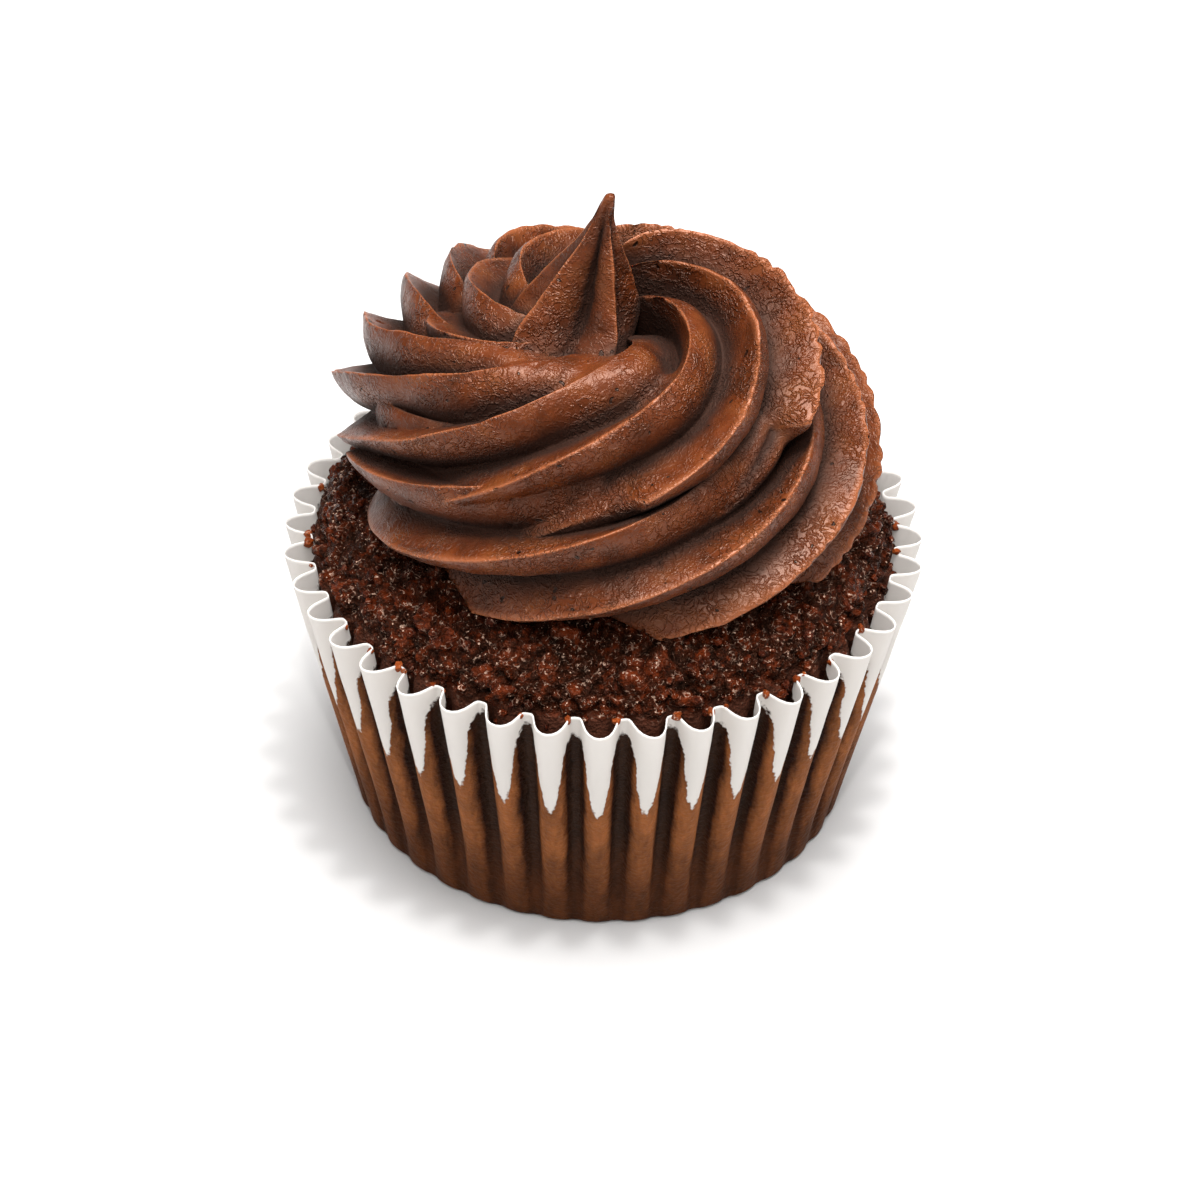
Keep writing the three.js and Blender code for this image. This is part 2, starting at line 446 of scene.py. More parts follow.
@dataclass(frozen=True)
class Buttercream:
    """Chocolate buttercream, whipped and pushed through a cut metal nozzle.

    The nozzle's teeth leave drawn ridges with thin edges that let light through; that glow is painted
    on the ridges as a lighter, warmer colour. The faces between are satin, with a skin of fine curling
    wrinkles and burst air bubbles, whose pits get painted shade. Little light finds its way back out of
    the creases, so shade is painted there as a darker colour, and they are dull.
    """

    body: str = "#5e2a0f"
    deep: str = "#481f09"
    pale: str = "#6d3819"
    # painted glow and highlight of the thin ridges
    ridge_glow: str = "#935433"
    # painted shade inside the burst bubbles
    bubble: str = "#1c0b04"
    # painted shade in the creases
    painted_shade: str = "#1c0702"
    gloss_tint: str = "#ffd8c4"
    ior: float = 1.46             # butter and sugar
    gloss: float = 0.6
    roughness: float = 0.33
    crease_roughness: float = 0.8
    scatter_share: float = 0.1
    scatter: float = 0.6          # mm that light travels inside
    mottle: float = 4.0           # mm across a darker or paler patch
    wrinkle: float = 0.8          # mm from one curling wrinkle to the next
    wrinkle_width: float = 0.09   # how far the noise may be from its middle value on a wrinkle
    wrinkled_patch: float = 7.0   # mm across a patch that wrinkled more than its surroundings
    calm: float = 0.22            # share of the wrinkles' height outside those patches
    bubble_spacing: float = 1.8   # mm
    widest_bubble: float = 0.18   # radius as a share of the spacing
    grain: float = 0.25           # mm, as coarse as the sugar has to be drawn to show
    relief: float = 0.15          # mm

    def skin(self, tree: bpy.types.NodeTree,
             at: bpy.types.NodeSocket) -> tuple[bpy.types.Node, bpy.types.Node]:
        """Draws the wrinkles and the burst bubbles.

        Args:
            tree: The material's tree.
            at: The place on the piece.

        Returns:
            Nodes that give 1 on a wrinkle and 1 inside a bubble.
        """
        warp = add_node(tree, "TexNoise", {"Scale": 0.6 / (self.wrinkle * MM), "Detail": 1.0}, {"Vector": at})
        bent = add_node(tree, "VectorMath", {"operation": "MULTIPLY_ADD", 1: (1.6 * self.wrinkle * MM,) * 3},
                        {0: warp.outputs["Color"], 2: at})
        curl = add_node(tree, "TexNoise", {"Scale": 1 / (self.wrinkle * MM), "Detail": 2.0, "Roughness": 0.6},
                        {"Vector": bent})
        off_middle = add_node(tree, "Math", {"operation": "SUBTRACT", 1: 0.5}, {0: curl})
        fold = add_node(tree, "Math", {"operation": "ABSOLUTE"}, {0: off_middle})
        wrinkles = add_node(tree, "MapRange", {"From Max": self.wrinkle_width, "To Min": 1.0, "To Max": 0.0},
                            {"Value": fold})
        patch = add_node(tree, "TexNoise", {"Scale": 1 / (self.wrinkled_patch * MM), "Detail": 1.0},
                         {"Vector": at})
        patch = add_node(tree, "MapRange", {"From Min": 0.4, "From Max": 0.58, "To Min": self.calm},
                         {"Value": patch})
        wrinkles = add_node(tree, "Math", {"operation": "MULTIPLY"}, {0: wrinkles, 1: patch})

        bubbles = add_node(tree, "TexVoronoi", {"Scale": 1 / (self.bubble_spacing * MM)}, {"Vector": bent})
        chosen = add_node(tree, "SeparateColor", links={"Color": bubbles.outputs["Color"]})
        width = add_node(tree, "MapRange", {"From Min": 0.15, "To Max": self.widest_bubble},
                         {"Value": chosen})
        depth = add_node(tree, "Math", {"operation": "SUBTRACT"}, {0: width, 1: bubbles})
        return wrinkles, add_node(tree, "MapRange", {"From Max": 0.03}, {"Value": depth})

    def material(self) -> bpy.types.Material:
        """Builds the finish."""
        material, tree, output = new_material("whipped_chocolate_buttercream")
        at = add_node(tree, "TexCoord").outputs["Object"]
        ridge = add_node(tree, "Attribute", {"attribute_name": "ridge"}).outputs["Fac"]
        painted_shade = add_node(tree, "Attribute", {"attribute_name": "painted_shade"}).outputs["Fac"]
        wrinkles, pit = self.skin(tree, at)

        mottle = add_node(tree, "TexNoise", {"Scale": 1 / (self.mottle * MM), "Detail": 3.0}, {"Vector": at})
        shade = add_node(tree, "ValToRGB", links={"Fac": mottle})
        stops = shade.color_ramp.elements
        stops[0].position, stops[0].color = 0.35, linear(self.deep)
        stops[1].position, stops[1].color = 0.68, linear(self.pale)
        stops.new(0.5).color = linear(self.body)
        # Painted glow: the marked ridges are drawn in a lighter, warmer colour.
        ridged = add_node(tree, "MixRGB", {"Color2": linear(self.ridge_glow)}, {"Fac": ridge, "Color1": shade})
        # Painted shade: the burst bubbles' pits are drawn near black.
        pitted = add_node(tree, "MixRGB", {"Color2": linear(self.bubble)}, {"Fac": pit, "Color1": ridged})
        # Painted shade: the deeper in a crease, the darker and duller it is drawn.
        shut = add_node(tree, "MapRange", {"From Min": 0.05, "From Max": 0.38, "To Max": 0.95},
                        {"Value": painted_shade})
        colour = add_node(tree, "MixRGB", {"Color2": linear(self.painted_shade)}, {"Fac": shut, "Color1": pitted})
        rough = add_node(tree, "MapRange", {"From Min": 0.1, "From Max": 0.45, "To Min": self.roughness,
                                            "To Max": self.crease_roughness}, {"Value": painted_shade})

        grain = add_node(tree, "TexNoise", {"Scale": 1 / (self.grain * MM), "Detail": 1.0}, {"Vector": at})
        height = add_node(tree, "Math", {"operation": "MULTIPLY_ADD", 1: 0.25}, {0: grain, 2: wrinkles})
        height = add_node(tree, "Math", {"operation": "MULTIPLY_ADD", 1: -2.5}, {0: pit, 2: height})
        bump = add_node(tree, "Bump", {"Strength": 1.0, "Distance": self.relief * MM}, {"Height": height})
        shader = add_node(tree, "BsdfPrincipled", {
            "IOR": self.ior, "Specular IOR Level": self.gloss, "Specular Tint": linear(self.gloss_tint),
            "Subsurface Weight": self.scatter_share, "Subsurface Radius": (1.0, 0.42, 0.2),
            "Subsurface Scale": self.scatter * MM,
        }, {"Base Color": colour, "Roughness": rough, "Normal": bump})
        tree.links.new(shader.outputs[0], output.inputs["Surface"])
        return material


@dataclass(frozen=True)
class Sponge:
    """Chocolate sponge as it left the oven: a torn, moist, dark crumb that glints where it is wet.

    The band that stood against the paper is denser and matt. Redder grains show where the crumb is thin.
    Its glints are painted as light specks and streaks, and its crevices as darker painted shade.
    """

    name: str = "moist_chocolate_sponge"
    dark: str = "#100401"
    crumb: str = "#2c0e04"
    red: str = "#64260d"
    band: str = "#412319"
    # painted shade in the crumb's crevices
    painted_shade: str = "#060201"
    # painted highlights of the wet crumb
    painted_glint: str = "#cfae98"
    gloss_tint: str = "#ffb998"
    ior: float = 1.42
    gloss: float = 0.3
    roughness: float = 0.15
    band_roughness: float = 0.7
    patch: float = 1.3           # mm across a darker or redder patch
    grain: float = 0.5           # mm
    wet_grain: float = 0.3       # mm
    glint_spacing: float = 0.36  # mm, as fine as the render shows
    largest_glint: float = 0.36  # radius as a share of the spacing
    streak: float = 0.75         # mm across one curl of the wet skin's painted glint streaks
    streak_glint: float = 0.62   # how much of a glint's brightness a streak has
    relief: float = 0.22         # mm

    def glints(self, tree: bpy.types.NodeTree, at: bpy.types.NodeSocket, tone: bpy.types.Node,
               painted_shade: bpy.types.NodeSocket) -> bpy.types.Node:
        """Draws the painted wet glints: specks and broken curling streaks, in patches and out in the open.

        Args:
            tree: The material's tree.
            at: The place on the piece.
            tone: How dark or red the crumb is.
            painted_shade: How deep in a crease the place lies, and so how much painted shade it has.

        Returns:
            A node that gives 1 on a painted glint.
        """
        speck = add_node(tree, "TexVoronoi", {"Scale": 1 / (self.glint_spacing * MM)}, {"Vector": at})
        lit = add_node(tree, "SeparateColor", links={"Color": speck.outputs["Color"]})
        size = add_node(tree, "MapRange", {"From Min": 0.5, "To Max": self.largest_glint}, {"Value": lit})
        patch = add_node(tree, "MapRange", {"From Min": 0.4, "From Max": 0.58}, {"Value": tone})
        size = add_node(tree, "Math", {"operation": "MULTIPLY"}, {0: size, 1: patch})
        inside = add_node(tree, "Math", {"operation": "LESS_THAN"}, {0: speck, 1: size})

        curl = add_node(tree, "TexNoise", {"Scale": 1 / (self.streak * MM), "Detail": 1.0}, {"Vector": at})
        off_middle = add_node(tree, "Math", {"operation": "SUBTRACT", 1: 0.5}, {0: curl})
        off_line = add_node(tree, "Math", {"operation": "ABSOLUTE"}, {0: off_middle})
        line = add_node(tree, "MapRange", {"From Min": 0.01, "From Max": 0.04, "To Min": self.streak_glint,
                                           "To Max": 0.0}, {"Value": off_line})
        broken = add_node(tree, "MapRange", {"From Min": 0.5, "From Max": 0.8}, {"Value": lit})
        line = add_node(tree, "Math", {"operation": "MULTIPLY"}, {0: line, 1: broken})
        line = add_node(tree, "Math", {"operation": "MULTIPLY"}, {0: line, 1: patch})
        inside = add_node(tree, "Math", {"operation": "MAXIMUM"}, {0: inside, 1: line})
        in_open = add_node(tree, "MapRange", {"From Min": 0.2, "From Max": 0.5, "To Min": 1.0, "To Max": 0.0},
                           {"Value": painted_shade})
        return add_node(tree, "Math", {"operation": "MULTIPLY"}, {0: inside, 1: in_open})

    def material(self) -> bpy.types.Material:
        """Builds the finish."""
        material, tree, output = new_material(self.name)
        at = add_node(tree, "TexCoord").outputs["Object"]
        owner = add_node(tree, "Attribute", {"attribute_name": "grain"}).outputs["Fac"]
        band = add_node(tree, "Attribute", {"attribute_name": "band"}).outputs["Fac"]
        painted_shade = add_node(tree, "Attribute", {"attribute_name": "painted_shade"}).outputs["Fac"]

        tone = add_node(tree, "TexNoise", {"Scale": 1 / (self.patch * MM), "Detail": 3.0, "Roughness": 0.7},
                        {"Vector": at})
        mixed = add_node(tree, "Math", {"operation": "MULTIPLY_ADD", 1: 0.35}, {0: owner, 2: tone})
        shade = add_node(tree, "ValToRGB", links={"Fac": mixed})
        stops = shade.color_ramp.elements
        stops[0].position, stops[0].color = 0.45, linear(self.dark)
        stops[1].position, stops[1].color = 0.9, linear(self.red)
        stops.new(0.66).color = linear(self.crumb)
        # Painted shade: the crumb is drawn darker the deeper it lies in a crevice.
        shut = add_node(tree, "MapRange", {"From Min": 0.07, "From Max": 0.45, "To Max": 0.92},
                        {"Value": painted_shade})
        crumb = add_node(tree, "MixRGB", {"Color2": linear(self.painted_shade)}, {"Fac": shut, "Color1": shade})
        # Painted glints: light specks and streaks drawn into the crumb's colour.
        painted_glint = self.glints(tree, at, tone, painted_shade)
        crumb = add_node(tree, "MixRGB", {"Color2": linear(self.painted_glint)}, {"Fac": painted_glint, "Color1": crumb})
        colour = add_node(tree, "MixRGB", {"Color2": linear(self.band)}, {"Fac": band, "Color1": crumb})
        rough = add_node(tree, "MapRange", {"To Min": self.roughness, "To Max": self.band_roughness},
                         {"Value": band})

        wet = add_node(tree, "TexVoronoi", {"Scale": 1 / (self.wet_grain * MM)}, {"Vector": at})
        grain = add_node(tree, "TexNoise", {"Scale": 1 / (self.grain * MM), "Detail": 3.0, "Roughness": 0.65},
                         {"Vector": at})
        height = add_node(tree, "Math", {"operation": "MULTIPLY_ADD", 1: 2.2}, {0: grain, 2: wet})
        bump = add_node(tree, "Bump", {"Strength": 1.0, "Distance": self.relief * MM}, {"Height": height})
        shader = add_node(tree, "BsdfPrincipled", {
            "IOR": self.ior, "Specular IOR Level": self.gloss, "Specular Tint": linear(self.gloss_tint),
        }, {"Base Color": colour, "Roughness": rough, "Normal": bump})
        tree.links.new(shader.outputs[0], output.inputs["Surface"])
        return material


@dataclass(frozen=True)
class GreaseproofPaper:
    """Bleached greaseproof paper, pressed into pleats, then soaked from inside by the cake's fat.

    Dry paper is matt and nearly white, and light comes through it. Where the fat came through it is
    brown, darkest on the flanks of the folds and dark in the valleys, partly from more fat where they lie
    on the sponge and partly as painted shade between the folds, and lighter on the outer folds that stand
    off it.
    """

    white: str = "#dad4ce"
    # valley: partly stain, partly painted shade between the folds
    valley: str = "#2f1c11"
    flank: str = "#250d04"
    rib: str = "#804b26"
    foot: str = "#47230c"
    ior: float = 1.45       # wood fibre
    gloss: float = 0.1
    roughness: float = 0.62
    crinkle: float = 0.55   # mm across one crinkle of the soaked paper
    blotch: float = 1.6     # mm
    blotch_draw: float = 0.3  # a blotch's width as a share of its height, drawn out by the folds
    darkest_blotch: float = 0.62  # factor on the brown
    palest_blotch: float = 1.35
    scatter_share: float = 0.35
    scatter: float = 0.8    # mm that light travels inside, which is more than the paper's thickness
    relief: float = 0.3     # mm

    def soaked(self, tree: bpy.types.NodeTree, fine: bpy.types.Node,
               blotch: bpy.types.Node) -> bpy.types.Node:
        """Mixes the browns of the soaked paper, partly stain and partly painted shade between the folds.

        Args:
            tree: The material's tree.
            fine: The crinkles.
            blotch: The blotches.

        Returns:
            A node that gives the colour.
        """
        fold = add_node(tree, "Attribute", {"attribute_name": "fold"}).outputs["Fac"]
        low = add_node(tree, "Attribute", {"attribute_name": "low"}).outputs["Fac"]
        # Browns by fold: valleys darker partly for fat and partly as painted shade; darkest on the flanks.
        tone = add_node(tree, "Math", {"operation": "MULTIPLY_ADD", 1: 0.5}, {0: blotch, 2: fold})
        brown = add_node(tree, "ValToRGB", links={"Fac": tone})
        stops = brown.color_ramp.elements
        stops[0].position, stops[0].color = 0.42, linear(self.valley)
        stops[1].position, stops[1].color = 1.0, linear(self.rib)
        stops.new(0.62).color = linear(self.flank)
        patchy = add_node(tree, "Math", {"operation": "MULTIPLY_ADD", 1: 0.5}, {0: fine, 2: low})
        faded = add_node(tree, "MapRange", {"From Min": 0.3, "From Max": 1.1, "To Max": 0.85},
                         {"Value": patchy})
        brown = add_node(tree, "MixRGB", {"Color2": linear(self.foot)}, {"Fac": faded, "Color1": brown})
        mottled = add_node(tree, "MapRange", {"From Min": 0.3, "From Max": 0.7, "To Min": self.darkest_blotch,
                                              "To Max": self.palest_blotch}, {"Value": blotch})
        return add_node(tree, "VectorMath", {"operation": "SCALE"}, {0: brown, "Scale": mottled})

    def material(self) -> bpy.types.Material:
        """Builds the finish."""
        material, tree, output = new_material("greaseproof_baking_paper")
        at = add_node(tree, "TexCoord").outputs["Object"]
        stain = add_node(tree, "Attribute", {"attribute_name": "stain"}).outputs["Fac"]
        drawn = add_node(tree, "Mapping", {"Scale": (1.0, 1.0, self.blotch_draw)}, {"Vector": at})
        blotch = add_node(tree, "TexNoise", {"Scale": 1 / (self.blotch * MM), "Detail": 4.0,
                                             "Roughness": 0.65}, {"Vector": drawn})
        fine = add_node(tree, "TexNoise", {"Scale": 1 / (self.crinkle * MM), "Detail": 3.0}, {"Vector": at})
        brown = self.soaked(tree, fine, blotch)
        edge = add_node(tree, "Math", {"operation": "MULTIPLY_ADD", 1: 1.1}, {0: fine, 2: stain})
        wet = add_node(tree, "MapRange", {"From Min": 0.45, "From Max": 0.7}, {"Value": edge})
        colour = add_node(tree, "MixRGB", {"Color1": linear(self.white)}, {"Fac": wet, "Color2": brown})
        height = add_node(tree, "Math", {"operation": "MULTIPLY"}, {0: fine, 1: wet})
        bump = add_node(tree, "Bump", {"Strength": 1.0, "Distance": self.relief * MM}, {"Height": height})
        shader = add_node(tree, "BsdfPrincipled", {
            "Roughness": self.roughness, "IOR": self.ior, "Specular IOR Level": self.gloss,
            "Subsurface Weight": self.scatter_share, "Subsurface Radius": (1.0, 1.0, 1.0),
            "Subsurface Scale": self.scatter * MM,
        }, {"Base Color": colour, "Normal": bump})
        tree.links.new(shader.outputs[0], output.inputs["Surface"])
        return material


@dataclass(frozen=True)
class StudioSurface:
    """A matt white board, which the cupcake stands on."""

    white: str = "#dcdbda"
    roughness: float = 0.8

    def material(self) -> bpy.types.Material:
        """Builds the finish."""
        material, tree, output = new_material("matt_white_board")
        shader = add_node(tree, "BsdfPrincipled", {
            "Base Color": linear(self.white), "Roughness": self.roughness, "Specular IOR Level": 0.1})
        tree.links.new(shader.outputs[0], output.inputs["Surface"])
        return material


# The pieces of the cupcake


@dataclass
class Pleats:
    """How the paper is folded: forty round outer folds with a narrow flat crest between each two.

    Sizes are in millimetres. The case and the flutes that it leaves on the cake share them.
    """

    count: int = 40
    height: float = 31.0
    foot_radius: float = 26.1
    rim_radius: float = 32.95
    folds: Keys = ((0, 0.25), (2, 0.5), (6, 1.2), (12, 1.9), (31, 3.0))  # depth at each height
    crest_share: float = 0.26  # width of a crest as a share of a pleat
    unevenness: float = 0.09   # share of a pleat by which its place and depth vary
    fold_points: int = 11      # round one outer fold
    crest_points: int = 5      # along one inner crest
    seed: int = 5

    def inner_radius(self, z: np.ndarray | float) -> np.ndarray:
        """Gives the radius that the inner crests lie on at each height."""
        outer = self.foot_radius + (self.rim_radius - self.foot_radius) * z / self.height
        return outer - self.depth(z)

    def depth(self, z: np.ndarray | float) -> np.ndarray:
        """Gives how far the outer folds stand out from the inner crests at each height."""
        return keyed(self.folds, np.atleast_1d(z))

    def turned(self, pleat: np.ndarray) -> np.ndarray:
        """Gives the angle about the axis of places counted in pleats, from the one towards -Y."""
        return pleat / self.count * TURN - TURN / 4

    def outline(self) -> tuple[np.ndarray, np.ndarray, np.ndarray]:
        """Draws one turn of the folded edge, the first outer fold towards -Y.

        Returns:
            For each point its angle about the axis, how far out it stands from 0 to 1, and how far it is
            from the nearest outer fold's middle, as a share of a pleat.
        """
        half = 0.5 - self.crest_share / 2
        swing = np.linspace(-math.pi / 2, math.pi / 2, self.fold_points)
        flat = np.linspace(half, 1 - half, self.crest_points + 2)[1:-1]
        place = np.concatenate([half * np.sin(swing), flat])
        out = np.concatenate([np.cos(swing), np.zeros(self.crest_points)])
        pleat = np.arange(self.count)[:, None]
        own_corner = np.stack(np.broadcast_arrays(pleat, 3, 7), axis=-1)  # one row of the noise's lattice
        lean = (hashed(own_corner, self.seed) - 0.5) * self.unevenness
        phase = (pleat + place[None] + lean * np.cos(math.pi * place[None]) ** 2).ravel()
        out = (out[None] * (1 + (hashed(own_corner, self.seed + 1) - 0.5) * self.unevenness)).ravel()
        for _ in range(2):
            phase_back, phase_on = np.roll(phase, 1), np.roll(phase, -1)
            phase_back[0] -= self.count
            phase_on[-1] += self.count
            phase = (phase_back + 2 * phase + phase_on) / 4
            out = (np.roll(out, 1) + 2 * out + np.roll(out, -1)) / 4
        away = np.abs((phase + 0.5) % 1 - 0.5)
        return self.turned(phase), np.minimum(out, 1), away


@dataclass
class PaperCase:
    """The pleated paper case, one sheet pressed over a flat foot with a small rounded edge.

    Sizes are in millimetres.
    """

    pleats: Pleats
    finish: GreaseproofPaper
    paper: float = 0.13          # thickness, drawn more than twice the real one so that the mesh holds it
    edge_round: float = 0.6
    wall_rows: int = 46
    edge_rows: int = 6
    rows_towards_foot: float = 1.15  # power that sets the rows closer near the foot
    rim_waver: float = 0.16      # how unevenly high the rim is
    wall_waver: float = 0.12     # how uneven the wall is
    mean_radius: float = 30.0    # where the noise round the wall is read
    stain_radius: float = 32.0
    tongue_length: float = 12.6  # white left on an outer fold
    tongue_half: float = 0.3     # half the tongue's width at the rim, as a share of a pleat
    tongue_point: float = 0.66   # power that rounds the tongue's end
    arch_top: float = 1.9        # white above the stain on an inner crest
    arch_rise: float = 2.2       # how much lower the arch's feet are than its top
    ragged_stain: tuple[float, float] = (1.3, 0.25)  # width and depth of the nicks in the stain's edge
    uneven_stain: tuple[float, float] = (9.0, 1.1)   # and of its wander from one pleat to the next
    stain_depth: float = 2.0     # over which the mark goes from the edge's 0 to 1
    crumbed_share: float = 0.55  # share of the crest corners that a crumb sticks to
    crumb_aside: float = 0.04    # how far a crumb strays from its corner, as a share of a pleat
    crumb_out: tuple[float, float] = (-0.1, 0.35)    # and outwards from the crest
    crumb_up: tuple[float, float] = (-0.5, 0.05)     # and above the rim
    fade_height: float = 16.0    # above the foot, where the ribs begin to fade into one brown
    seed: int = 11

    def stain_reach(self, away: np.ndarray, z: np.ndarray, around: np.ndarray) -> np.ndarray:
        """Gives how far each point lies inside the fat stain.

        Args:
            away: Each point's distance from its outer fold's middle, as a share of a pleat.
            z: Each point's height.
            around: Each point's angle about the axis.

        Returns:
            Millimetres, positive inside the stain and negative on the dry tongues.
        """
        below = self.pleats.height - z
        across = np.clip(away / self.tongue_half, 0, 1)
        tongue = self.tongue_length * (1 - across ** 2) ** self.tongue_point
        near_crest = np.clip((0.5 - away) / (0.5 - self.tongue_half), 0, 1)
        arch_foot = self.arch_top + self.arch_rise
        arch = self.arch_top + self.arch_rise * (1 - np.sqrt(1 - near_crest ** 2 * 0.999))
        line = np.where(away < self.tongue_half, np.maximum(tongue, arch_foot), arch)
        spots = ring_at(around, self.stain_radius, z)
        nick_width, nick_depth = self.ragged_stain
        wander_width, wander_depth = self.uneven_stain
        nicks = nick_depth * wavering(spots, nick_width, self.seed)
        return below - line + nicks + wander_depth * wavering(spots * (1, 1, 0.1), wander_width, self.seed)

    def rings(self, angle: np.ndarray, out: np.ndarray) -> list[np.ndarray]:
        """Lists the rings of the shell, up its outer face and down its inner one.

        Args:
            angle: The angle about the axis of each point of a ring.
            out: How far out each point stands, from 0 on a crest to 1 on a fold.

        Returns:
            The rings, in millimetres.
        """
        edge = self.edge_round * (1 - np.cos(np.linspace(0, math.pi / 2, self.edge_rows)))
        down = np.linspace(1, 0, self.wall_rows) ** self.rows_towards_foot
        levels = np.append(edge[:-1], self.pleats.height - (self.pleats.height - self.edge_round) * down)
        drawn_in = self.edge_round * (1 - np.sqrt(np.clip(1 - (1 - levels / self.edge_round) ** 2, 0, 1)))
        drawn_in[levels >= self.edge_round] = 0
        spots = ring_at(angle, self.mean_radius, 0.0)
        rim_lift = self.rim_waver * (wavering(spots, 3.1, self.seed + 3) - 0.7)
        outer, inner = [], []
        for z, drawn in zip(levels, drawn_in):
            share = z / self.pleats.height
            fold = self.pleats.depth(z) * (1 - drawn / (2 * self.edge_round))
            radius = self.pleats.inner_radius(z) + fold * out - drawn
            radius += self.wall_waver * share * wavering(spots + (0, 0, z), 6.0, self.seed + 5)
            ring = ring_at(angle, radius, z + rim_lift * share ** 4)
            along = np.roll(ring, -1, axis=0) - np.roll(ring, 1, axis=0)
            facing = np.stack([along[:, 1], -along[:, 0], np.zeros(len(ring))], axis=1)
            facing /= np.linalg.norm(facing, axis=1, keepdims=True)
            outer.append(ring)
            inner.append(ring - facing * self.paper)
        inner = [ring + (0, 0, self.paper) * (ring[:, 2:] < self.edge_round) for ring in inner]
        return outer + inner[::-1]

    def build(self) -> bpy.types.Object:
        """Builds the case as a thin closed shell.

        Returns:
            The piece, with its stain and folds kept as numbers on its points.
        """
        angle, out, away = self.pleats.outline()
        rings = self.rings(angle, out)
        points, faces = closed_rings(rings, (0, 0, 0), (0, 0, self.paper))
        piece = mesh_piece("pleated_case", points, faces, self.finish.material())
        x, y, z = points.T
        away_on_rings, out_on_rings = (np.append(np.tile(row, len(rings)), (0, 0)) for row in (away, out))
        reach = self.stain_reach(away_on_rings, z, np.arctan2(y, x))
        mark(piece, "stain", np.clip(reach / self.stain_depth, -1, 1))
        mark(piece, "fold", out_on_rings)
        mark(piece, "low", 1 - ramp(1.0, self.fade_height, z))
        place(piece, Part.CASE, True)
        return piece

    def crest_spots(self) -> np.ndarray:
        """Picks places where crumbs stick to the corners of the inner crests at the rim.

        Returns:
            The places in millimetres.
        """
        rng = np.random.default_rng(self.seed)
        corner = np.array([-0.5, 0.5]) * self.pleats.crest_share
        pleat = np.arange(self.pleats.count)[:, None] + 0.5 + corner[None]
        pleat = (pleat + rng.uniform(-self.crumb_aside, self.crumb_aside, pleat.shape)).ravel()
        pleat = pleat[rng.uniform(0, 1, len(pleat)) < self.crumbed_share]
        radius = self.pleats.inner_radius(self.pleats.height) + rng.uniform(*self.crumb_out, len(pleat))
        height = self.pleats.height + rng.uniform(*self.crumb_up, len(pleat))
        return ring_at(self.pleats.turned(pleat), radius, height)


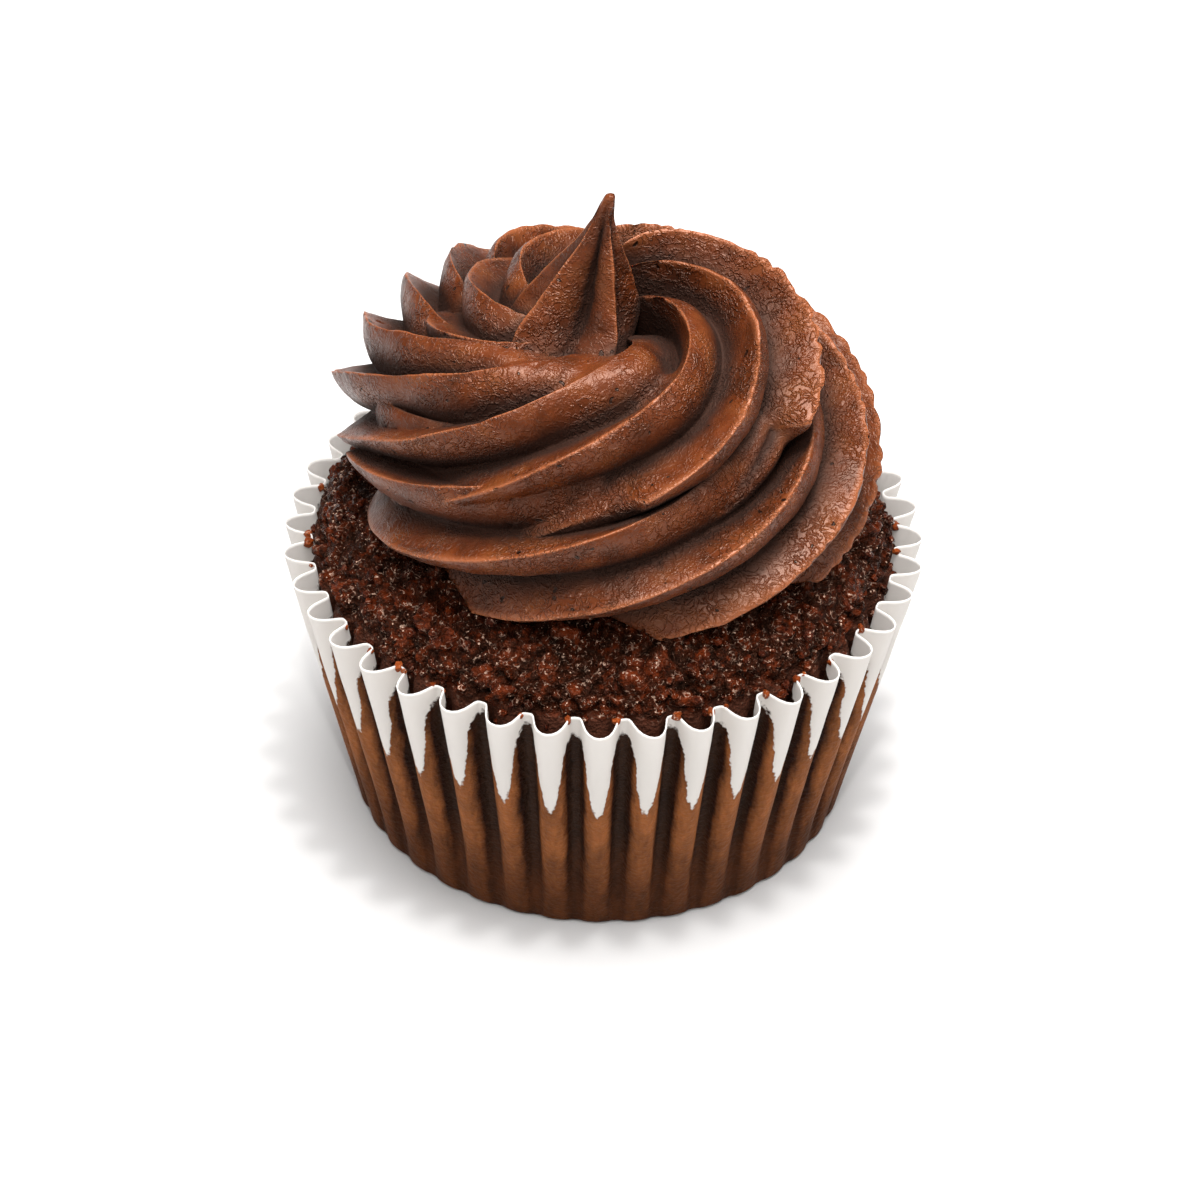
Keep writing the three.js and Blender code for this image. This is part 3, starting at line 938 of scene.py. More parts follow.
@dataclass
class Cake:
    """The sponge: fluted where it fills the paper, domed and torn above it.

    Sizes are in millimetres, and the dome's angles in radians of elevation.
    """

    pleats: Pleats
    finish: Sponge
    paper_gap: float = 0.8
    flute_share: float = 0.7      # depth of the flutes as a share of the paper's folds
    floor: float = 0.8
    edge_round: float = 1.5
    wall: Keys = ((1.8, 0.3), (8, 0), (16, 0), (22, 0), (25, 0))  # heights, and how far drawn in
    dome_radius: float = 30.3
    dome_foot: float = 27.0
    dome_height: float = 12.0
    dome_roundness: float = 0.5
    flute_fade: float = 0.5       # elevation by which the flutes have died out
    crumb_foot: float = 25.5      # height below which the wall is plain, inside the paper
    band_top: float = 30.8
    around: int = 720
    dome_rows: int = 84
    hidden_radius: float = 13.0   # inside which the buttercream hides the dome
    hidden_step: float = 0.08     # elevation from there to the first coarse ring
    hidden_top: float = 1.52      # elevation of the last ring
    lump: tuple[float, float, float] = (2.5, 0.85, 0.22)  # the crumb's lumps: width, height, cracks' share
    grain: tuple[float, float, float] = (1.15, 0.5, 0.3)  # the grains on them
    speck: tuple[float, float] = (0.62, 0.3)   # width and height of the specks on those
    swell: tuple[float, float] = (7.0, 0.3)    # and of the soft swells below all
    sway: tuple[float, float] = (2.4, 0.9)     # width and reach of the noise that bends the cells
    sunk: float = 1.0             # how far all is set back to stay on the dome
    band_waver: tuple[float, float] = (2.2, 0.9)  # width and height of the waves of the band's edge
    band_fade: tuple[float, float] = (1.3, 0.5)   # how far below and above its top the band fades out
    band_dent: tuple[float, float] = (0.9, 0.1)   # width and depth of the band's dents
    crease_reach: float = 2.5
    crumbs_above: float = 1.5     # lowest loose crumbs, above the dome's foot
    crumbs_outside: float = 24.5  # radius inside which the buttercream is
    seed: int = 21

    def dome(self, elevation: np.ndarray | float) -> tuple[np.ndarray, np.ndarray]:
        """Gives the dome's radius and height at each elevation angle."""
        radius = self.dome_radius * np.cos(elevation) ** self.dome_roundness
        return radius, self.dome_foot + self.dome_height * np.sin(elevation)

    def crumb_relief(self, points: np.ndarray) -> tuple[np.ndarray, np.ndarray]:
        """Works out the torn crumb.

        Args:
            points: The plain dome's points.

        Returns:
            How far each point stands out in millimetres, and the number of the grain that it is on.
        """
        sway_width, sway_reach = self.sway
        bent = swayed(points, sway_width, self.seed, sway_reach)
        width, height, crack = self.lump
        near, next_one, owner = cells(bent, width, self.seed)
        lumps = height * (1 - np.minimum(near, 1) ** 2) * ramp(0.0, crack, next_one - near)
        width, height, crack = self.grain
        near, next_one, small_owner = cells(bent, width, self.seed + 5)
        grains = height * (1 - np.minimum(near, 1) ** 2) * ramp(0.0, crack, next_one - near)
        width, height = self.speck
        near, _, _ = cells(bent, width, self.seed + 9)
        relief = lumps * (0.4 + 0.9 * owner) + grains * (0.4 + small_owner)
        relief += height * (1 - np.minimum(near, 1) ** 2)
        width, height = self.swell
        relief += height * wavering(points, width, self.seed + 13) - self.sunk
        return relief, 0.5 * owner + 0.5 * small_owner

    def rings(self) -> list[np.ndarray]:
        """Lists the plain form's rings, up the fluted wall and over the dome."""
        angle = np.arange(self.around) / self.around * TURN - TURN / 4
        turn_angle, out, _ = self.pleats.outline()
        fold = np.interp(angle, turn_angle, out, period=TURN)
        rings = []
        for z, drawn in ((self.floor, self.edge_round), *self.wall):
            flute = self.flute_share * self.pleats.depth(z) * fold
            rings.append(ring_at(angle, self.pleats.inner_radius(z) - self.paper_gap - drawn + flute, z))
        flute = self.flute_share * self.pleats.depth(self.dome_foot)
        last = math.acos((self.hidden_radius / self.dome_radius) ** (1 / self.dome_roundness))
        shown = np.linspace(0, last, self.dome_rows)
        for elevation in (*shown, last + self.hidden_step, self.hidden_top):
            fade = max(0.0, 1 - elevation / self.flute_fade)
            radius, height = self.dome(elevation)
            rings.append(ring_at(angle, radius - flute * fade * (1 - fold), height))
        return rings

    def build(self) -> bpy.types.Object:
        """Builds the sponge with its crumb as real relief.

        Returns:
            The piece, with its grains, its matt band and its painted shade kept as numbers on its points.
        """
        top = (0, 0, self.dome_foot + self.dome_height)
        points, faces = closed_rings(self.rings(), (0, 0, self.floor), top)
        piece = mesh_piece("chocolate_sponge", points, faces, self.finish.material())
        z = points[:, 2]
        relief, owner = self.crumb_relief(points)
        wave_width, wave_height = self.band_waver
        below, above = self.band_fade
        uneven = z + wave_height * wavering(points, wave_width, self.seed + 3)
        band = 1 - ramp(self.band_top - below, self.band_top + above, uneven)
        dent_width, dent_depth = self.band_dent
        smooth_band = dent_depth * wavering(points, dent_width, self.seed + 7) - dent_depth
        height = np.where(z < self.crumb_foot, 0, relief * (1 - band) + smooth_band * band)
        moved = points + normals_of(piece) * height[:, None]
        moved[-2:] = points[-2:]
        move_points(piece, moved)
        mark(piece, "grain", owner)
        mark(piece, "band", band)
        # Painted shade: how shut in each point is darkens the sponge's colour.
        mark(piece, "painted_shade", enclosed(piece, self.crease_reach, 8, self.seed))
        place(piece, Part.CAKE, True)
        return piece

    def crumb_spots(self, piece: bpy.types.Object, count: int) -> np.ndarray:
        """Picks places on the open dome for loose crumbs.

        Args:
            piece: The finished sponge.
            count: How many places are picked.

        Returns:
            The places in millimetres.
        """
        points = points_of(piece)
        reach = np.hypot(points[:, 0], points[:, 1])
        above_paper = points[:, 2] > self.dome_foot + self.crumbs_above
        open_dome = np.flatnonzero(above_paper & (reach > self.crumbs_outside))
        picked = np.random.default_rng(self.seed).choice(open_dome, count, replace=False)
        return points[picked]


@dataclass
class Nozzle:
    """The cut metal star that the buttercream was pushed through, held at one compass heading.

    A place between two ridges counts from 0 on one to 1 on the next. The valley lies nearer to the
    second, so each lobe has a long belly and a steep wall.
    """

    lobes: int = 8
    heading: float = math.radians(3.6)
    valley: float = 0.62
    belly_power: float = 1.4
    wall_power: float = 1.6
    ridge_share: float = 0.33  # how far a ridge reaches towards the next
    edge_share: float = 0.03   # how far its thin edge does
    places: tuple[float, ...] = (  # closest on the thin edges
        0, 0.012, 0.03, 0.055, 0.09, 0.135, 0.19, 0.25, 0.31, 0.37, 0.43, 0.49, 0.545, 0.59, 0.62, 0.66, 0.71,
        0.76, 0.81, 0.855, 0.895, 0.93, 0.96, 0.983)

    def radius(self, place: np.ndarray, depth: np.ndarray) -> np.ndarray:
        """Gives the star's radius, 1 on a ridge, for places from one ridge to the next."""
        belly = 1 - depth * (np.minimum(place, self.valley) / self.valley) ** self.belly_power
        wall = (np.maximum(place, self.valley) - self.valley) / (1 - self.valley)
        return np.where(place < self.valley, belly, 1 - depth * (1 - wall ** self.wall_power))

    def sharpness(self, place: np.ndarray) -> np.ndarray:
        """Gives how near each place is to a ridge, 1 on it and 0 a third of the way to the next."""
        return np.clip(1 - np.minimum(place, 1 - place) / self.ridge_share, 0, 1) ** 1.5

    def thin_edges(self, count: int) -> np.ndarray:
        """Marks points that go from ridge to ridge over and over, 1 on a ridge and 0 off its thin edge."""
        places = np.array(self.places)
        near = np.clip(1 - np.minimum(places / self.edge_share, (1 - places) / self.edge_share), 0, 1)
        return np.tile(near, count // len(places))

    def points(self) -> tuple[np.ndarray, np.ndarray, np.ndarray]:
        """Goes round the star once.

        Returns:
            For each point its angle, its place between two ridges and the number of its lobe.
        """
        lobe, spot = np.meshgrid(np.arange(self.lobes), np.array(self.places), indexing="ij")
        return -TURN * (lobe + spot).ravel() / self.lobes, spot.ravel(), lobe.ravel()


@dataclass
class Frosting:
    """One rope of buttercream laid round twice from the outside in and drawn up to a peak.

    Turns count along the rope from its start. Heights, radii and depths in millimetres are keyed to them,
    and the crown's are keyed to height. The twist turns the nozzle's lobes about the rope in degrees. In
    front of the peak a mound smears the ridges flat, and three ridges are torn: pulled out or sunk in.
    Every point carries a mark, above 0 on a ridge, which the finish paints as a lighter glow, and below 0
    in a torn gap or a groove of the peak, which it darkens as painted shade.
    """

    nozzle: Nozzle
    cake: Cake
    finish: Buttercream
    start: float = math.radians(190)
    turns: float = 2.1
    stations_per_turn: int = 330
    stretches: int = 8
    flatness: float = 0.98
    mean_path: float = 18.0  # radius that distances along the rope are worked out with
    path_radius: Keys = (
        (0, 16.6), (0.15, 15.8), (0.4, 18), (0.7, 19.2), (0.78, 19.2), (0.85, 18.2), (0.92, 17.3),
        (0.98, 15.3), (1.05, 12.8), (1.22, 12.4), (1.34, 13.7), (1.46, 12.8), (1.58, 9.6), (1.85, 7.8),
        (2.1, 5.9))
    path_height: Keys = (
        (0, 42.4), (0.4, 41.4), (0.7, 42.2), (0.78, 43.2), (0.85, 43.4), (0.92, 43), (0.98, 44.9),
        (1.05, 46.8), (1.22, 48.5), (1.34, 49.2), (1.46, 50.9), (1.58, 51.4), (1.7, 50.2), (1.85, 49.4),
        (2.0, 49.2), (2.1, 48.8))
    path_twist: Keys = (
        (0, -90), (0.77, -90), (0.92, -20), (1.0, -11), (1.05, -11), (1.13, -4), (1.22, 3), (1.34, 3),
        (1.46, -2), (1.58, -5), (1.7, -1), (2.1, 0))
    rope_radius: Keys = (
        (0, 9.6), (0.15, 10.2), (0.35, 10.1), (0.6, 10.4), (0.98, 10.5), (1.22, 10.5), (1.34, 10.9),
        (1.46, 10.7), (1.58, 10.5), (1.7, 9.9), (1.9, 9.5), (2.1, 8.6))
    groove_depth: Keys = ((0, 0.4), (1.6, 0.4), (2.1, 0.32))
    drift_x: Keys = ((0, 0), (1, -1.4), (2.1, -3.2))
    drift_y: Keys = ((0, 0), (1, 0.6), (1.7, 1), (2.1, 0))
    mound: Keys = ((0.96, 0), (1.04, 1), (1.27, 1), (1.36, 0))
    mound_flatness: float = 0.85  # share of the grooves' depth that the mound takes away
    mound_side: tuple[float, float] = (math.radians(70), math.radians(102))  # where it begins and is whole
    torn_ridges: tuple[tuple[int, Keys], ...] = (  # the lobe, and how far it is pulled out at each turn
        (7, ((1.18, 0), (1.24, -0.02), (1.3, -0.08), (1.36, -0.24), (1.386, -0.28), (1.394, 0.1),
             (1.45, 0.12), (1.55, 0.08), (1.65, 0))),
        (0, ((1.3, 0), (1.355, -0.4), (1.44, -0.42), (1.52, 0))),
        (6, ((1.14, 0), (1.2, -0.08), (1.254, -0.16), (1.262, 0.07), (1.31, 0.05), (1.38, 0))))
    scalloped: Keys = ((0.3, 0), (0.4, 1), (0.75, 1), (0.82, 0.3), (0.9, 1), (0.98, 1), (1.03, 0), (1.3, 0),
                       (1.36, 1), (1.6, 1), (1.7, 0))
    scallop_width: float = 1.7
    scallop_reach: float = 0.05  # share of the rope's radius
    nick_reach: float = 0.03     # share of the rope's radius
    nick_size: float = 0.9
    tear_size: float = 2.1
    torn_stretch: float = 14.0   # from one stretch of nicks and tears to the next
    edge_width: float = 0.035    # of the thin edge that is nicked, as a share of the way to the next ridge

    crown_foot: tuple[float, float, float] = (-4, -2.5, 45)  # the point that closes it below
    crown_waist: float = 53.0    # below which it is hidden and needs few rings
    crown_radius: Keys = (
        (45, 8.6), (51.5, 8.2), (53.5, 7.5), (55.5, 6.6), (57.8, 5.6), (59.3, 4.9), (61.5, 3.9), (64, 2.7),
        (66.5, 1.6), (68.5, 1.0), (70.2, 0.68), (71.2, 0.45))
    crown_grooves: Keys = (
        (45, 0.1), (52.5, 0.2), (55, 0.42), (57, 0.66), (59, 0.84), (66, 0.84), (70.2, 0.3), (71.2, 0))
    crown_ridges: tuple[tuple[float, float, float], ...] = (  # heading in degrees, reach below and above
        (20, 0.9, 1.0), (62, 0.85, 1.0), (105, 0.9, 1.1), (152, 1.2, 1.4), (203, 1.0, 1.42), (300, 1.0, 1.05))
    crown_x: Keys = ((45, -3.5), (54, -3.5), (58.5, -1.8), (64, -1.0), (69, -0.4), (71.6, 0.1))
    crown_y: Keys = ((45, -2.5), (54, -2.5), (58.5, -0.6), (64, 0), (71.6, 0))
    crown_raised: tuple[float, float] = (54.0, 59.0)  # heights where the reach below gives way to that above
    groove_power: float = 0.9
    shaded_from: tuple[float, float] = (54.5, 58.5)   # heights over which the grooves' painted shade begins
    shaded_to: tuple[float, float] = (67.0, 71.0)     # and ends
    peak_foot: float = 53.3
    peak_rows: int = 90
    peak_end: float = 71.2
    tip_levels: tuple[float, float] = (71.42, 71.54)
    tip_round: float = 0.4
    tip: tuple[float, float, float] = (0.4, 0, 71.6)  # the point that closes it above
    core_radius: float = 15.0    # of the plain middle below the crown
    core_top: float = 50.0

    gap_shade: float = 2.2       # how strongly a torn gap is marked for painted shade
    groove_shade: float = 0.42   # how strongly the peak's grooves are marked for painted shade
    crease_reach: float = 7.0    # how far off the next lobe still adds painted shade to a crease
    dent: tuple[float, float] = (4.5, 0.16)      # width and depth of soft dents
    drag: tuple[float, float] = (1.5, 0.07)      # of short drag marks
    bubble: tuple[float, float] = (2.9, 0.3)     # spacing and depth of burst bubbles
    bubble_size: tuple[float, float] = (0.04, 0.15)  # their floor and rim, as shares of the spacing
    bubble_share: float = 0.4    # share of the places that have one
    seed: int = 41

    def edge_tear(self, place: np.ndarray, lobe: np.ndarray, along: np.ndarray,
                  facing: np.ndarray) -> np.ndarray:
        """Works out how the thin ridges are nicked, most where they face outwards and were stretched.

        Args:
            place: Each point's place between two ridges.
            lobe: The number of its lobe.
            along: Its distance along the rope in millimetres.
            facing: The cosine of its angle from straight outwards.

        Returns:
            A factor for each point's reach.
        """
        edge = np.exp(-(np.minimum(place, (1 - place) * 1.5) / self.edge_width) ** 2)
        nearest_lobe = lobe + (place > 0.5)
        spots = np.stack([along, nearest_lobe * 9.0, nearest_lobe * 5.0], axis=1)
        nicks = wavering(spots, self.nick_size, self.seed) * 0.6
        nicks += wavering(spots, self.tear_size, self.seed + 1)
        where = ramp(0.0, 0.7, wavering(spots, self.torn_stretch, self.seed + 2) + 0.25)
        phase = along / self.scallop_width + 0.8 * wavering(spots, 5.0, self.seed + 3)
        bump = np.sqrt(np.abs(np.sin(math.pi * phase))) - 0.8
        scallops = bump * ramp(0.3, 0.8, facing) * keyed(self.scalloped, along / (TURN * self.mean_path))
        return 1 + edge * (self.nick_reach * nicks * where + self.scallop_reach * scallops)

    def around_angle(self, turns: np.ndarray) -> np.ndarray:
        """Gives the angle of each point round the rope, 0 outwards and a quarter turn at the top."""
        angle, _, _ = self.nozzle.points()
        turns = turns[:, None]
        heading = self.start + TURN * turns
        return heading + np.radians(keyed(self.path_twist, turns)) - self.nozzle.heading + angle

    def smeared(self, turns: np.ndarray) -> np.ndarray:
        """Gives how far the ridges are smeared flat, which they are on the mound in front of the peak."""
        above = self.around_angle(turns) % TURN
        past_top = ramp(*self.mound_side, above) * (above < 1.25 * math.pi)
        return keyed(self.mound, turns)[:, None] * past_top

    def pulled(self, turns: np.ndarray) -> np.ndarray:
        """Gives how far the torn ridges are pulled out or sunk in, as a share of the rope's radius."""
        _, spot, lobe = self.nozzle.points()
        pull = np.zeros((len(turns), len(spot)))
        for torn_lobe, keys in self.torn_ridges:
            on_ridge = np.abs(lobe + spot - torn_lobe) < 0.5
            pull += keyed(keys, turns)[:, None] * on_ridge * self.nozzle.sharpness(spot)
        return pull

    def section(self, turns: np.ndarray) -> np.ndarray:
        """Cuts the rope across at several places.

        Args:
            turns: Where it is cut, in turns from its start.

        Returns:
            One ring of points in millimetres for each cut.
        """
        _, spot, lobe = self.nozzle.points()
        around = self.around_angle(turns)
        smeared, pulled = self.smeared(turns), self.pulled(turns)
        turns = turns[:, None]
        heading = self.start + TURN * turns
        depth = keyed(self.groove_depth, turns) * (1 - self.mound_flatness * smeared)
        reach = keyed(self.rope_radius, turns) * self.nozzle.radius(spot[None], depth)
        at_each = np.broadcast_arrays(spot, lobe, turns * TURN * self.mean_path, np.cos(around))
        tear = self.edge_tear(*(values.ravel() for values in at_each)).reshape(around.shape)
        reach = reach * tear * (1 + pulled)
        outwards = np.maximum(0.2, keyed(self.path_radius, turns) + reach * np.cos(around))
        x = keyed(self.drift_x, turns) + outwards * np.cos(heading)
        y = keyed(self.drift_y, turns) + outwards * np.sin(heading)
        z = keyed(self.path_height, turns) + self.flatness * reach * np.sin(around)
        return np.stack([x, y, z], axis=-1)

    def section_marks(self, turns: np.ndarray) -> np.ndarray:
        """Marks the ridges and torn gaps of the rope's sections, in the order of their points."""
        sunk = np.clip(-self.pulled(turns) - 0.05, 0, 1) * self.gap_shade
        kept = (1 - self.smeared(turns)) * np.clip(1 - 4 * sunk, 0, 1)
        return self.nozzle.thin_edges(kept.size) * kept.ravel() - sunk.ravel()

    def crown_points(self) -> tuple[np.ndarray, np.ndarray]:
        """Goes round the peak once, from ridge to ridge.

        Returns:
            For each point its compass angle and its place between two ridges.
        """
        places = np.array(self.nozzle.places)
        ridges = np.radians([heading for heading, _, _ in self.crown_ridges])
        gaps = (np.roll(ridges, -1) - ridges) % TURN
        compass = (ridges[:, None] + gaps[:, None] * places[None]).ravel()
        return compass, np.tile(places, len(ridges))

    def crown(self) -> list[np.ndarray]:
        """Lists the rings of the smooth middle and the grooved peak drawn up from it."""
        compass, spot = self.crown_points()
        places = np.array(self.nozzle.places)
        _, *reaches = np.array(self.crown_ridges).T
        low_reach, high_reach = ((np.outer(reach, 1 - places) + np.outer(np.roll(reach, -1), places)).ravel()
                                 for reach in reaches)
        levels = np.concatenate([np.linspace(self.crown_foot[2], self.crown_waist, 5),
                                 np.linspace(self.peak_foot, self.peak_end, self.peak_rows), self.tip_levels])
        into_tip = np.maximum(levels - self.peak_end, 0) / self.tip_round
        radii = keyed(self.crown_radius, levels) * np.sqrt(1 - into_tip ** 2)
        depths, raised = keyed(self.crown_grooves, levels), ramp(*self.crown_raised, levels)
        middles = keyed(self.crown_x, levels), keyed(self.crown_y, levels)
        rings = []
        for level, radius, depth, high, x, y in zip(levels, radii, depths, raised, *middles):
            reach = radius * (low_reach * (1 - high) + high_reach * high)
            reach = reach * (1 - depth * (1 - np.abs(2 * spot - 1) ** self.groove_power))
            rings.append(ring_at(compass, reach, level) + (x, y, 0))
        return rings

    def crown_marks(self, points: np.ndarray) -> np.ndarray:
        """Marks the ridges and grooves of the crown's points, which go round ring by ring."""
        _, spot = self.crown_points()
        inside = np.clip(1 - np.abs(2 * spot - 1), 0, 1) ** 1.3
        level = points[:, 2]
        grooved = ramp(*self.shaded_from, level) * (1 - ramp(*self.shaded_to, level))
        grooves = self.groove_shade * np.tile(inside, len(points) // len(inside)) * grooved
        return self.nozzle.thin_edges(len(points)) - grooves

    def joined(self, solids: list[bpy.types.Object], cut: bpy.types.Object) -> bpy.types.Object:
        """Joins closed solids into one and cuts another away.

        Args:
            solids: What is joined. The first becomes the result.
            cut: What is cut away.

        Returns:
            The joined solid. The others are removed.
        """
        body = solids[0]
        held = bpy.data.collections.new("joined_solids")
        bpy.context.scene.collection.children.link(held)
        for other in solids[1:]:
            bpy.context.scene.collection.objects.unlink(other)
            held.objects.link(other)
        union = body.modifiers.new("union", "BOOLEAN")
        union.operation, union.solver = "UNION", "MANIFOLD"
        union.operand_type, union.collection = "COLLECTION", held
        difference = body.modifiers.new("difference", "BOOLEAN")
        difference.operation, difference.solver = "DIFFERENCE", "MANIFOLD"
        difference.object = cut
        graph = bpy.context.evaluated_depsgraph_get()
        made = bpy.data.meshes.new_from_object(body.evaluated_get(graph))
        body.modifiers.clear()
        body.data = made
        for other in [*solids[1:], cut]:
            bpy.data.objects.remove(other)
        bpy.data.collections.remove(held)
        return body

    def build(self) -> bpy.types.Object:
        """Builds the rope in stretches, joins them with the crown and the core, and roughens the skin.

        Returns:
            The piece, with its ridges and creases kept as numbers on its points for painted glow and shade.
        """
        steps = int(round(self.turns * self.stations_per_turn / self.stretches))
        solids, known, marks = [], [], []
        for i in range(self.stretches):
            first, last = self.turns * i / self.stretches, self.turns * (i + 1) / self.stretches
            turns = np.linspace(first, last, steps + 1)
            rings = self.section(turns)
            points, faces = closed_rings(rings, rings[0].mean(axis=0), rings[-1].mean(axis=0))
            solids.append(mesh_piece("stretch_%d" % i, points, faces))
            known.append(rings.reshape(-1, 3))
            marks.append(self.section_marks(turns))
        rings = self.crown()
        solids.append(mesh_piece("peak", *closed_rings(rings, self.crown_foot, self.tip)))
        known.append(np.concatenate(rings))
        marks.append(self.crown_marks(known[-1]))
        solids.append(self.core())
        body = self.joined(solids, self.dome_cut())
        self.keep_largest(body)
        body.name = "piped_buttercream"
        body.data.materials.clear()
        body.data.materials.append(self.finish.material())
        body.data.shade_smooth()
        marked = self.nearest_marks(body, np.concatenate(known), np.concatenate(marks))
        mark(body, "ridge", np.maximum(marked, 0))
        self.roughen(body)
        # Painted shade: how shut in each point is, with the torn gaps and the peak's grooves, darkens the
        # colour.
        shut_in = enclosed(body, self.crease_reach, 10, self.seed)
        mark(body, "painted_shade", np.maximum(shut_in, smoothed(body, -marked, 2)))
        place(body, Part.FROSTING, True)
        return body

    def core(self) -> bpy.types.Object:
        """Makes the plain middle that the rope lies round, so that nothing is hollow."""
        angle = np.arange(48) / 48 * TURN
        foot = self.cake.dome_foot
        levels = ((foot, self.core_radius), (self.core_top - 6, self.core_radius),
                  (self.core_top, self.core_radius / 2))
        rings = [ring_at(angle, radius, z) for z, radius in levels]
        return mesh_piece("core", *closed_rings(rings, (0, 0, foot), (0, 0, self.core_top)))

    def dome_cut(self) -> bpy.types.Object:
        """Makes the cake's plain dome, which the buttercream is pressed down onto."""
        angle = np.arange(96) / 96 * TURN
        radii, heights = self.cake.dome(np.linspace(0, 1.5, 24))
        rings = [ring_at(angle, radii[0], 0)]
        rings += [ring_at(angle, radius, z) for radius, z in zip(radii, heights)]
        top = (0, 0, self.cake.dome_foot + self.cake.dome_height)
        return mesh_piece("dome", *closed_rings(rings, (0, 0, 0), top))

    def keep_largest(self, body: bpy.types.Object) -> None:
        """Drops every loose shell but the largest.

        Each point takes the lowest number among its neighbours, and then the number that this one has
        taken, until every shell has one number.
        """
        starts, ends = edge_ends(body).T
        shell = np.arange(len(body.data.vertices))
        settled = False
        while not settled:
            lowest = np.minimum(shell[starts], shell[ends])
            lower = shell.copy()
            np.minimum.at(lower, starts, lowest)
            np.minimum.at(lower, ends, lowest)
            lower = lower[lower]
            settled = (lower == shell).all()
            shell = lower
        numbers, sizes = np.unique(shell, return_counts=True)
        keep = shell == numbers[sizes.argmax()]
        if keep.all():
            return
        number = np.cumsum(keep) - 1
        kept_faces = [face for face in body.data.polygons if keep[face.vertices[0]]]
        faces = [number[list(face.vertices)].tolist() for face in kept_faces]
        points = points_of(body)[keep] * MM
        body.data = bpy.data.meshes.new("kept")
        body.data.from_pydata(points.tolist(), [], faces)

    def nearest_marks(self, body: bpy.types.Object, known: np.ndarray, marks: np.ndarray) -> np.ndarray:
        """Gives each point of the joined body the mark of the rope's point nearest to it.

        Args:
            body: The joined body.
            known: The points of the rope and the crown before they were joined.
            marks: Their marks.

        Returns:
            One mark for each point of the body.
        """
        tree = KDTree(len(known))
        for i, point in enumerate(known):
            tree.insert(point, i)
        tree.balance()
        return np.array([marks[tree.find(point)[1]] for point in points_of(body)])

    def roughen(self, body: bpy.types.Object) -> None:
        """Gives the skin soft dents and short drag marks, and opens its larger bubbles."""
        (dent_width, dent_depth), (drag_width, drag_depth) = self.dent, self.drag
        bubble_spacing, bubble_depth = self.bubble
        points, normals = points_of(body), normals_of(body)
        dents = dent_depth * wavering(points, dent_width, self.seed + 11)
        dents += drag_depth * wavering(points, drag_width, self.seed + 12)
        bent = swayed(points, 1.6, self.seed, 0.6)
        near, _, owner = cells(bent, bubble_spacing, self.seed + 13)
        bubble = bubble_depth * (1 - ramp(*self.bubble_size, near)) * (owner > 1 - self.bubble_share)
        calm = ramp(0.5, 3.0, self.tip[2] - points[:, 2])
        move_points(body, points + normals * ((dents - bubble) * calm)[:, None])


@dataclass
class Bits:
    """Loose crumbs of one kind, each a small lump of its own shape, made as one piece."""

    name: str
    part: Part
    finish: Sponge
    smallest: float  # mm across
    largest: float   # mm across
    seed: int
    lumpiness: float = 0.45

    def lump(self) -> tuple[np.ndarray, np.ndarray]:
        """Makes a ball of twenty triangles cut once more."""
        golden = (1 + math.sqrt(5)) / 2
        corners = [(-1, golden, 0), (1, golden, 0), (-1, -golden, 0), (1, -golden, 0), (0, -1, golden),
                   (0, 1, golden), (0, -1, -golden), (0, 1, -golden), (golden, 0, -1), (golden, 0, 1),
                   (-golden, 0, -1), (-golden, 0, 1)]
        points = [np.array(c) / np.linalg.norm(c) for c in corners]
        faces = [(0, 11, 5), (0, 5, 1), (0, 1, 7), (0, 7, 10), (0, 10, 11), (1, 5, 9), (5, 11, 4),
                 (11, 10, 2), (10, 7, 6), (7, 1, 8), (3, 9, 4), (3, 4, 2), (3, 2, 6), (3, 6, 8), (3, 8, 9),
                 (4, 9, 5), (2, 4, 11), (6, 2, 10), (8, 6, 7), (9, 8, 1)]
        halfway: dict[tuple[int, int], int] = {}

        def between(a: int, b: int) -> int:
            """Finds or makes the point half way between two."""
            key = (min(a, b), max(a, b))
            if key not in halfway:
                middle = points[a] + points[b]
                points.append(middle / np.linalg.norm(middle))
                halfway[key] = len(points) - 1
            return halfway[key]

        finer = []
        for a, b, c in faces:
            ab, bc, ca = between(a, b), between(b, c), between(c, a)
            finer += [(a, ab, ca), (b, bc, ab), (c, ca, bc), (ab, bc, ca)]
        return np.array(points), np.array(finer)

    def build(self, spots: np.ndarray) -> bpy.types.Object:
        """Builds one crumb at each spot.

        Args:
            spots: Where they lie, in millimetres.

        Returns:
            The piece.
        """
        rng = np.random.default_rng(self.seed)
        ball, faces = self.lump()
        all_points, all_faces = [], []
        for i, spot in enumerate(spots):
            size = rng.uniform(self.smallest, self.largest) / 2
            squash = rng.uniform(0.6, 1.15, 3)
            own_place = ball * 2 + i * 7.3  # each crumb reads another part of the noise
            shape = ball * (1 + self.lumpiness * wavering(own_place, 1.4, self.seed))[:, None]
            all_points.append(shape * squash * size + spot)
            all_faces.append(faces + i * len(ball))
        points = np.concatenate(all_points)
        piece = mesh_piece(self.name, points, np.concatenate(all_faces).tolist(), self.finish.material())
        mark(piece, "grain", np.repeat(rng.uniform(0.2, 1, len(spots)), len(ball)))
        mark(piece, "band", np.zeros(len(points)))
        # No painted shade on the loose crumbs.
        mark(piece, "painted_shade", np.zeros(len(points)))
        place(piece, self.part, False)
        return piece


@dataclass(frozen=True)
class Softbox:
    """A square soft light: where it hangs and how wide it is in millimetres, and its power in watts."""

    name: str
    spot: tuple[float, float, float]
    width: float
    power: float

    def hang(self, look_at: Vector) -> None:
        """Hangs the light so that it looks at a place given in millimetres."""
        data = bpy.data.lights.new(self.name, "AREA")
        data.size = self.width * MM
        data.energy = self.power
        lamp = bpy.data.objects.new(self.name, data)
        bpy.context.scene.collection.objects.link(lamp)
        lamp.location = Vector(self.spot) * MM
        lamp.rotation_euler = (look_at - Vector(self.spot)).to_track_quat("-Z", "Y").to_euler()


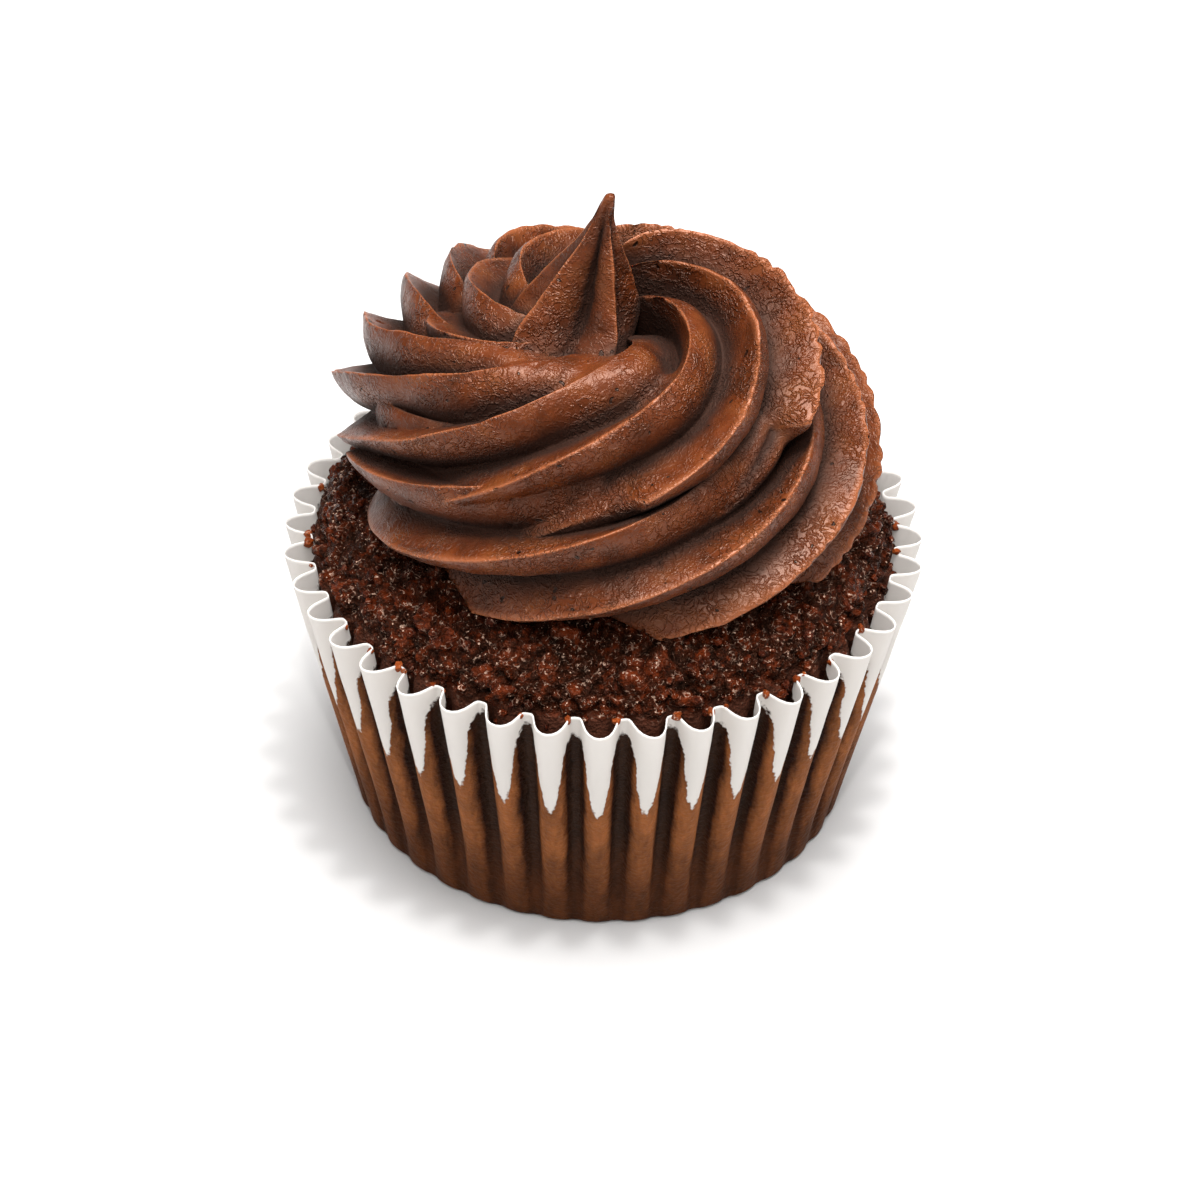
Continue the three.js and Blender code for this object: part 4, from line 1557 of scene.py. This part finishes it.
@dataclass
class Studio:
    """The white board, the soft lights and the camera.

    The camera's place was worked out from the forty pleats at the rim, the foot and the peak. Sizes are
    in millimetres.
    """

    floor: StudioSurface
    half_width: float = 1500.0
    distance: float = 399.6
    elevation: float = math.radians(38.91)
    roll: float = math.radians(1.17)
    look_x: float = -0.21
    look_z: float = 21.55
    focal: float = 115.24
    film_width: float = 36.0
    sky: float = 0.1
    lit_height: float = 35.0  # what the lights look at, on the axis
    softboxes: tuple[Softbox, ...] = (
        Softbox("top_softbox", (20, 10, 430), 340, 3.5),
        Softbox("top_spark", (35, -70, 480), 34, 0.6),
        Softbox("front_softbox", (-50, -460, 380), 260, 0.42),
        Softbox("right_softbox", (360, -160, 240), 160, 0.36),
        Softbox("left_softbox", (-380, -120, 200), 180, 0.28),
        Softbox("front_spark", (-10, -330, 460), 14, 0.5),
    )

    def camera(self) -> None:
        """Makes the camera and puts it to use."""
        data = bpy.data.cameras.new("camera")
        data.sensor_width = self.film_width
        data.lens = self.focal
        data.clip_start = 0.01
        camera = bpy.data.objects.new("camera", data)
        bpy.context.scene.collection.objects.link(camera)
        ahead = Vector((0, math.cos(self.elevation), -math.sin(self.elevation)))
        right = Vector((1, 0, 0))
        up = right.cross(ahead)
        turned_right = right * math.cos(self.roll) + up * math.sin(self.roll)
        turned_up = up * math.cos(self.roll) - right * math.sin(self.roll)
        eye = Vector((self.look_x, 0, self.look_z)) - ahead * self.distance
        columns = Matrix((turned_right, turned_up, -ahead)).transposed()
        camera.matrix_world = Matrix.Translation(eye * MM) @ columns.to_4x4()
        bpy.context.scene.camera = camera

    def build(self) -> None:
        """Builds the studio."""
        scene = bpy.context.scene
        scene.view_settings.view_transform = "Standard"
        world = bpy.data.worlds.new("white_room")
        scene.world = world
        world.use_nodes = True
        background = world.node_tree.nodes["Background"]
        background.inputs["Strength"].default_value = self.sky
        background.inputs["Color"].default_value = (1, 1, 1, 1)
        corners = np.array([(-1, -1, 0), (1, -1, 0), (1, 1, 0), (-1, 1, 0)]) * self.half_width
        board = mesh_piece("white_board", corners, [(0, 1, 2, 3)], self.floor.material())
        for softbox in self.softboxes:
            softbox.hang(Vector((0, 0, self.lit_height)))
        self.camera()


def main() -> None:
    """Builds the cupcake and its studio."""
    logging.basicConfig(level=logging.INFO, format="%(name)s %(message)s")
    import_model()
    pleats = Pleats()
    case = PaperCase(pleats, GreaseproofPaper())
    case.build()
    cake = Cake(pleats, Sponge())
    sponge = cake.build()
    crumb = Sponge(name="loose_sponge_crumb", dark="#160602", crumb="#34120a", red="#5a220c")
    loose = Bits("dome_crumbs", Part.CAKE, crumb, smallest=0.5, largest=1.3, seed=61)
    loose.build(cake.crumb_spots(sponge, 320))
    baked_on = Sponge(name="baked_on_crumb", dark="#5c230a", crumb="#7a3412", red="#96481e", roughness=0.4)
    stuck = Bits("rim_crumbs", Part.CAKE, baked_on, smallest=0.5, largest=1.15, seed=62)
    stuck.build(case.crest_spots())
    Frosting(Nozzle(), cake, Buttercream()).build()
    Studio(StudioSurface()).build()


if __name__ == "__main__":
    main()
